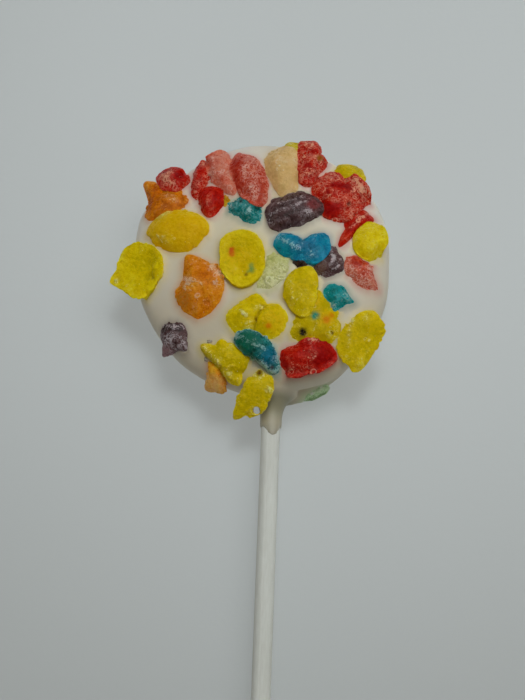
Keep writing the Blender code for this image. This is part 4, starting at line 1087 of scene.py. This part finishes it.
rolling, roll = new_shape("rolled_paper", {
    "Start": STICK_START * MM, "End": STICK_END * MM, "Radius": STICK_RADIUS * MM, "Paper": 0.07 * MM,
    "Worn Edge": 0.22 * MM, "Seam Turn": 0.28, "Points Round": 96, "Steps Along": 160, "Material": "material",
})
rod = roll["Start"].node("GeometryNodeMeshCylinder", None, {
    "Vertices": roll["Points Round"], "Side Segments": roll["Steps Along"], "Radius": 1.0, "Depth": 1.0})
spot = rod.node("GeometryNodeInputPosition")
turn = spot.axis("Y").maths("ARCTAN2", spot.axis("X"))
wound = (turn / (2.0 * math.pi) + 1.0 - roll["Seam Turn"]).maths("FRACT")
eased = 0.5 - 0.5 * ((spot.axis("Z") + 0.5) * math.pi).maths("COSINE")
length = roll["End"] - roll["Start"]
from_end = eased.maths("MINIMUM", 1.0 - eased) * length
worn = (1.0 - from_end / roll["Worn Edge"]).kept_in()
drawn_in = (1.0 - (1.0 - worn * worn) ** 0.5) * roll["Worn Edge"]
radius = roll["Radius"] - roll["Paper"] * wound - drawn_in
rolled = spot.node("ShaderNodeCombineXYZ", None, {
    "X": STICK_X * MM + radius * turn.maths("COSINE"),
    "Y": (roll["Start"] + eased * length) * -1.0,
    "Z": STICK_Z * MM + radius * turn.maths("SINE")})
shaped = spot.node("GeometryNodeSetPosition", None, {"Geometry": rod, "Position": rolled})
end_shape(shaped, roll["Material"])

PAPER_WHITE = (0.78, 0.79, 0.73)
PAPER_SHADE = (0.70, 0.70, 0.63)
ROLL_PITCH = 0.16
END_FADE = (STICK_END - 0.1, STICK_END - 0.02)
PAPER_BUMP = 0.06

# Patches of the paper's patterns to the metre, and how far they are drawn out along the stick
PAPER_FIBRE = 3200.0
PAPER_BLOTCH = 260.0
ALONG_THE_STICK = (1.0, 0.12, 1.0)

paper_finish, paper_shader, paper_place = new_finish("rolled_white_paper", {
    "IOR": 1.45,
    "Specular IOR Level": 0.3,
})
fibre = (paper_place * ALONG_THE_STICK).noise(PAPER_FIBRE, detail=4.0)
blotch = (paper_place * ALONG_THE_STICK).noise(PAPER_BLOTCH)
paper_x = paper_place.axis("X") - STICK_X * MM
paper_z = paper_place.axis("Z") - STICK_Z * MM
from_axis = (paper_x * paper_x + paper_z * paper_z) ** 0.5
paper_turn = paper_z.maths("ARCTAN2", paper_x) / (2.0 * math.pi)
layer = (from_axis / (ROLL_PITCH * MM) + paper_turn + 1.0).maths("FRACT")
at_end = (paper_place.axis("Y") * -1.0).between(END_FADE[0] * MM, END_FADE[1] * MM)
# Painted shade in the spiral groove between the paper's layers on its end
shaded_groove = (1.0 - layer.between(0.0, 0.3)) * at_end
paper_share = (fibre.between(0.35, 0.7) * 0.5 + blotch.between(0.4, 0.7) * 0.4 + shaded_groove * 0.8).kept_in()
connect(paper_shader, blend_colours(paper_share, PAPER_WHITE, PAPER_SHADE), 0.7 + fibre * 0.2,
        fibre * 0.25 - shaded_groove, PAPER_BUMP)

rolled_stick = new_object("rolled_stick", bpy.data.meshes.new("rolled_stick"))
run_shape(rolled_stick, rolling, {"Material": paper_finish})
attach(rolled_stick, "root")
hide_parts("paper_stick")

# The floor is a wide matt board. Its colour and its glow are palest around a spot by the head and dimmer away from it,
# a painted pool of light, and it glows a little so that the shadow on it stays faint.
# A soft light hangs high beyond the head, a wider one is lower on its right, and a weak one comes from all round.

FLOOR_HALF = 1500.0
FLOOR_PALE = (0.35, 0.37, 0.37)
FLOOR_SHADE = (0.335, 0.355, 0.35)
FLOOR_PAINTED_DIM = (0.30, 0.315, 0.31)
GLOW_NEAR = (0.24, 0.255, 0.255)
GLOW_FAR = (0.155, 0.163, 0.158)
# The middle and the reach of the painted pool of light on the board
PAINTED_POOL_MIDDLE = (15.0, 45.0, 0.0)
PAINTED_POOL_FALLOFF = (40.0, 170.0)
FLOOR_SINK = 0.05
FLOOR_BUMP = 0.02

# Patches of the board's patterns to the metre
FLOOR_CLOUD = 14.0
FLOOR_GRAIN = 900.0

floor_finish, floor_shader, floor_place = new_finish("matt_board", {
    "Specular IOR Level": 0.2,
    "Emission Strength": 1.0,
})
floor_cloud = floor_place.noise(FLOOR_CLOUD)
floor_grain = floor_place.noise(FLOOR_GRAIN)
floor_from = floor_place - tuple(value * MM for value in PAINTED_POOL_MIDDLE)
# Painted pool of light: the board and its glow dim away from a spot by the head
floor_painted_falloff = (floor_from.length() / MM).between(*PAINTED_POOL_FALLOFF)
floor_colour = blend_colours(floor_painted_falloff, blend_colours(floor_cloud, FLOOR_PALE, FLOOR_SHADE), FLOOR_PAINTED_DIM)
blend_colours(floor_painted_falloff, GLOW_NEAR, GLOW_FAR).feed(floor_shader.inputs["Emission Color"])
connect(floor_shader, floor_colour, 0.75 + floor_grain * 0.1, floor_grain, FLOOR_BUMP)
floor_corners = [(x * FLOOR_HALF, y * FLOOR_HALF, -FLOOR_SINK) for x, y in ((-1, -1), (1, -1), (1, 1), (-1, 1))]
floor = new_object("floor", mesh_from("floor", floor_corners, [(0, 1, 2, 3)]))
floor.data.materials.append(floor_finish)


def soft_light(name, place, aim, size, spread, power, colour):
    """A round lamp at a place and turned to another, with its size in millimetres and its spread in degrees."""
    lamp = bpy.data.lights.new(name, "AREA")
    lamp.shape = "DISK"
    lamp.size = size * MM
    lamp.spread = math.radians(spread)
    lamp.energy = power
    lamp.color = colour
    made = new_object(name, lamp)
    made.location = Vector(place) * MM
    made.rotation_euler = (Vector(place) - Vector(aim)).to_track_quat("Z", "Y").to_euler()


soft_light("key_light", place=(110.0, 240.0, 640.0), aim=(10.0, 40.0, 0.0), size=380.0, spread=26.0, power=0.100,
           colour=(0.93, 1.0, 1.03))
soft_light("side_light", place=(220.0, 90.0, 400.0), aim=(0.0, 0.0, 0.0), size=300.0, spread=180.0, power=0.44,
           colour=(0.98, 1.0, 1.0))

ALL_ROUND_COLOUR = (1.03, 1.0, 0.95, 1.0)
ALL_ROUND_STRENGTH = 0.18

around = bpy.data.worlds.new("around")
around.use_nodes = True
backdrop = around.node_tree.nodes["Background"]
backdrop.inputs["Color"].default_value = ALL_ROUND_COLOUR
backdrop.inputs["Strength"].default_value = ALL_ROUND_STRENGTH
bpy.context.scene.world = around
bpy.context.scene.view_settings.view_transform = "Standard"

# The camera looks down on the face from beyond the stick's right, rolled so that the stick stands upright.

CAMERA_AZIMUTH = 20.0
CAMERA_ELEVATION = 70.0
CAMERA_ROLL = 19.0
CAMERA_DISTANCE = 450.0
CAMERA_AIM_RIGHT = -1.236
CAMERA_AIM_UP = -12.357
PIXELS_PER_MM = 5.26
PICTURE_HEIGHT = 700
SENSOR = 36.0

azimuth = math.radians(CAMERA_AZIMUTH)
elevation = math.radians(CAMERA_ELEVATION)
roll_angle = math.radians(CAMERA_ROLL)
back = Vector((math.sin(azimuth) * math.cos(elevation), -math.cos(azimuth) * math.cos(elevation),
               math.sin(elevation)))
level = Vector((math.cos(azimuth), math.sin(azimuth), 0.0))
above = back.cross(level)
right = level * math.cos(roll_angle) - above * math.sin(roll_angle)
up = level * math.sin(roll_angle) + above * math.cos(roll_angle)
lens = bpy.data.cameras.new("camera")
lens.sensor_width = SENSOR
lens.lens = SENSOR * PIXELS_PER_MM * CAMERA_DISTANCE / PICTURE_HEIGHT
camera = new_object("camera", lens)
camera.matrix_world = Matrix.Translation(
    (back * CAMERA_DISTANCE + right * CAMERA_AIM_RIGHT + up * CAMERA_AIM_UP) * MM
) @ Matrix((right, up, back)).transposed().to_4x4()
bpy.context.scene.camera = camera
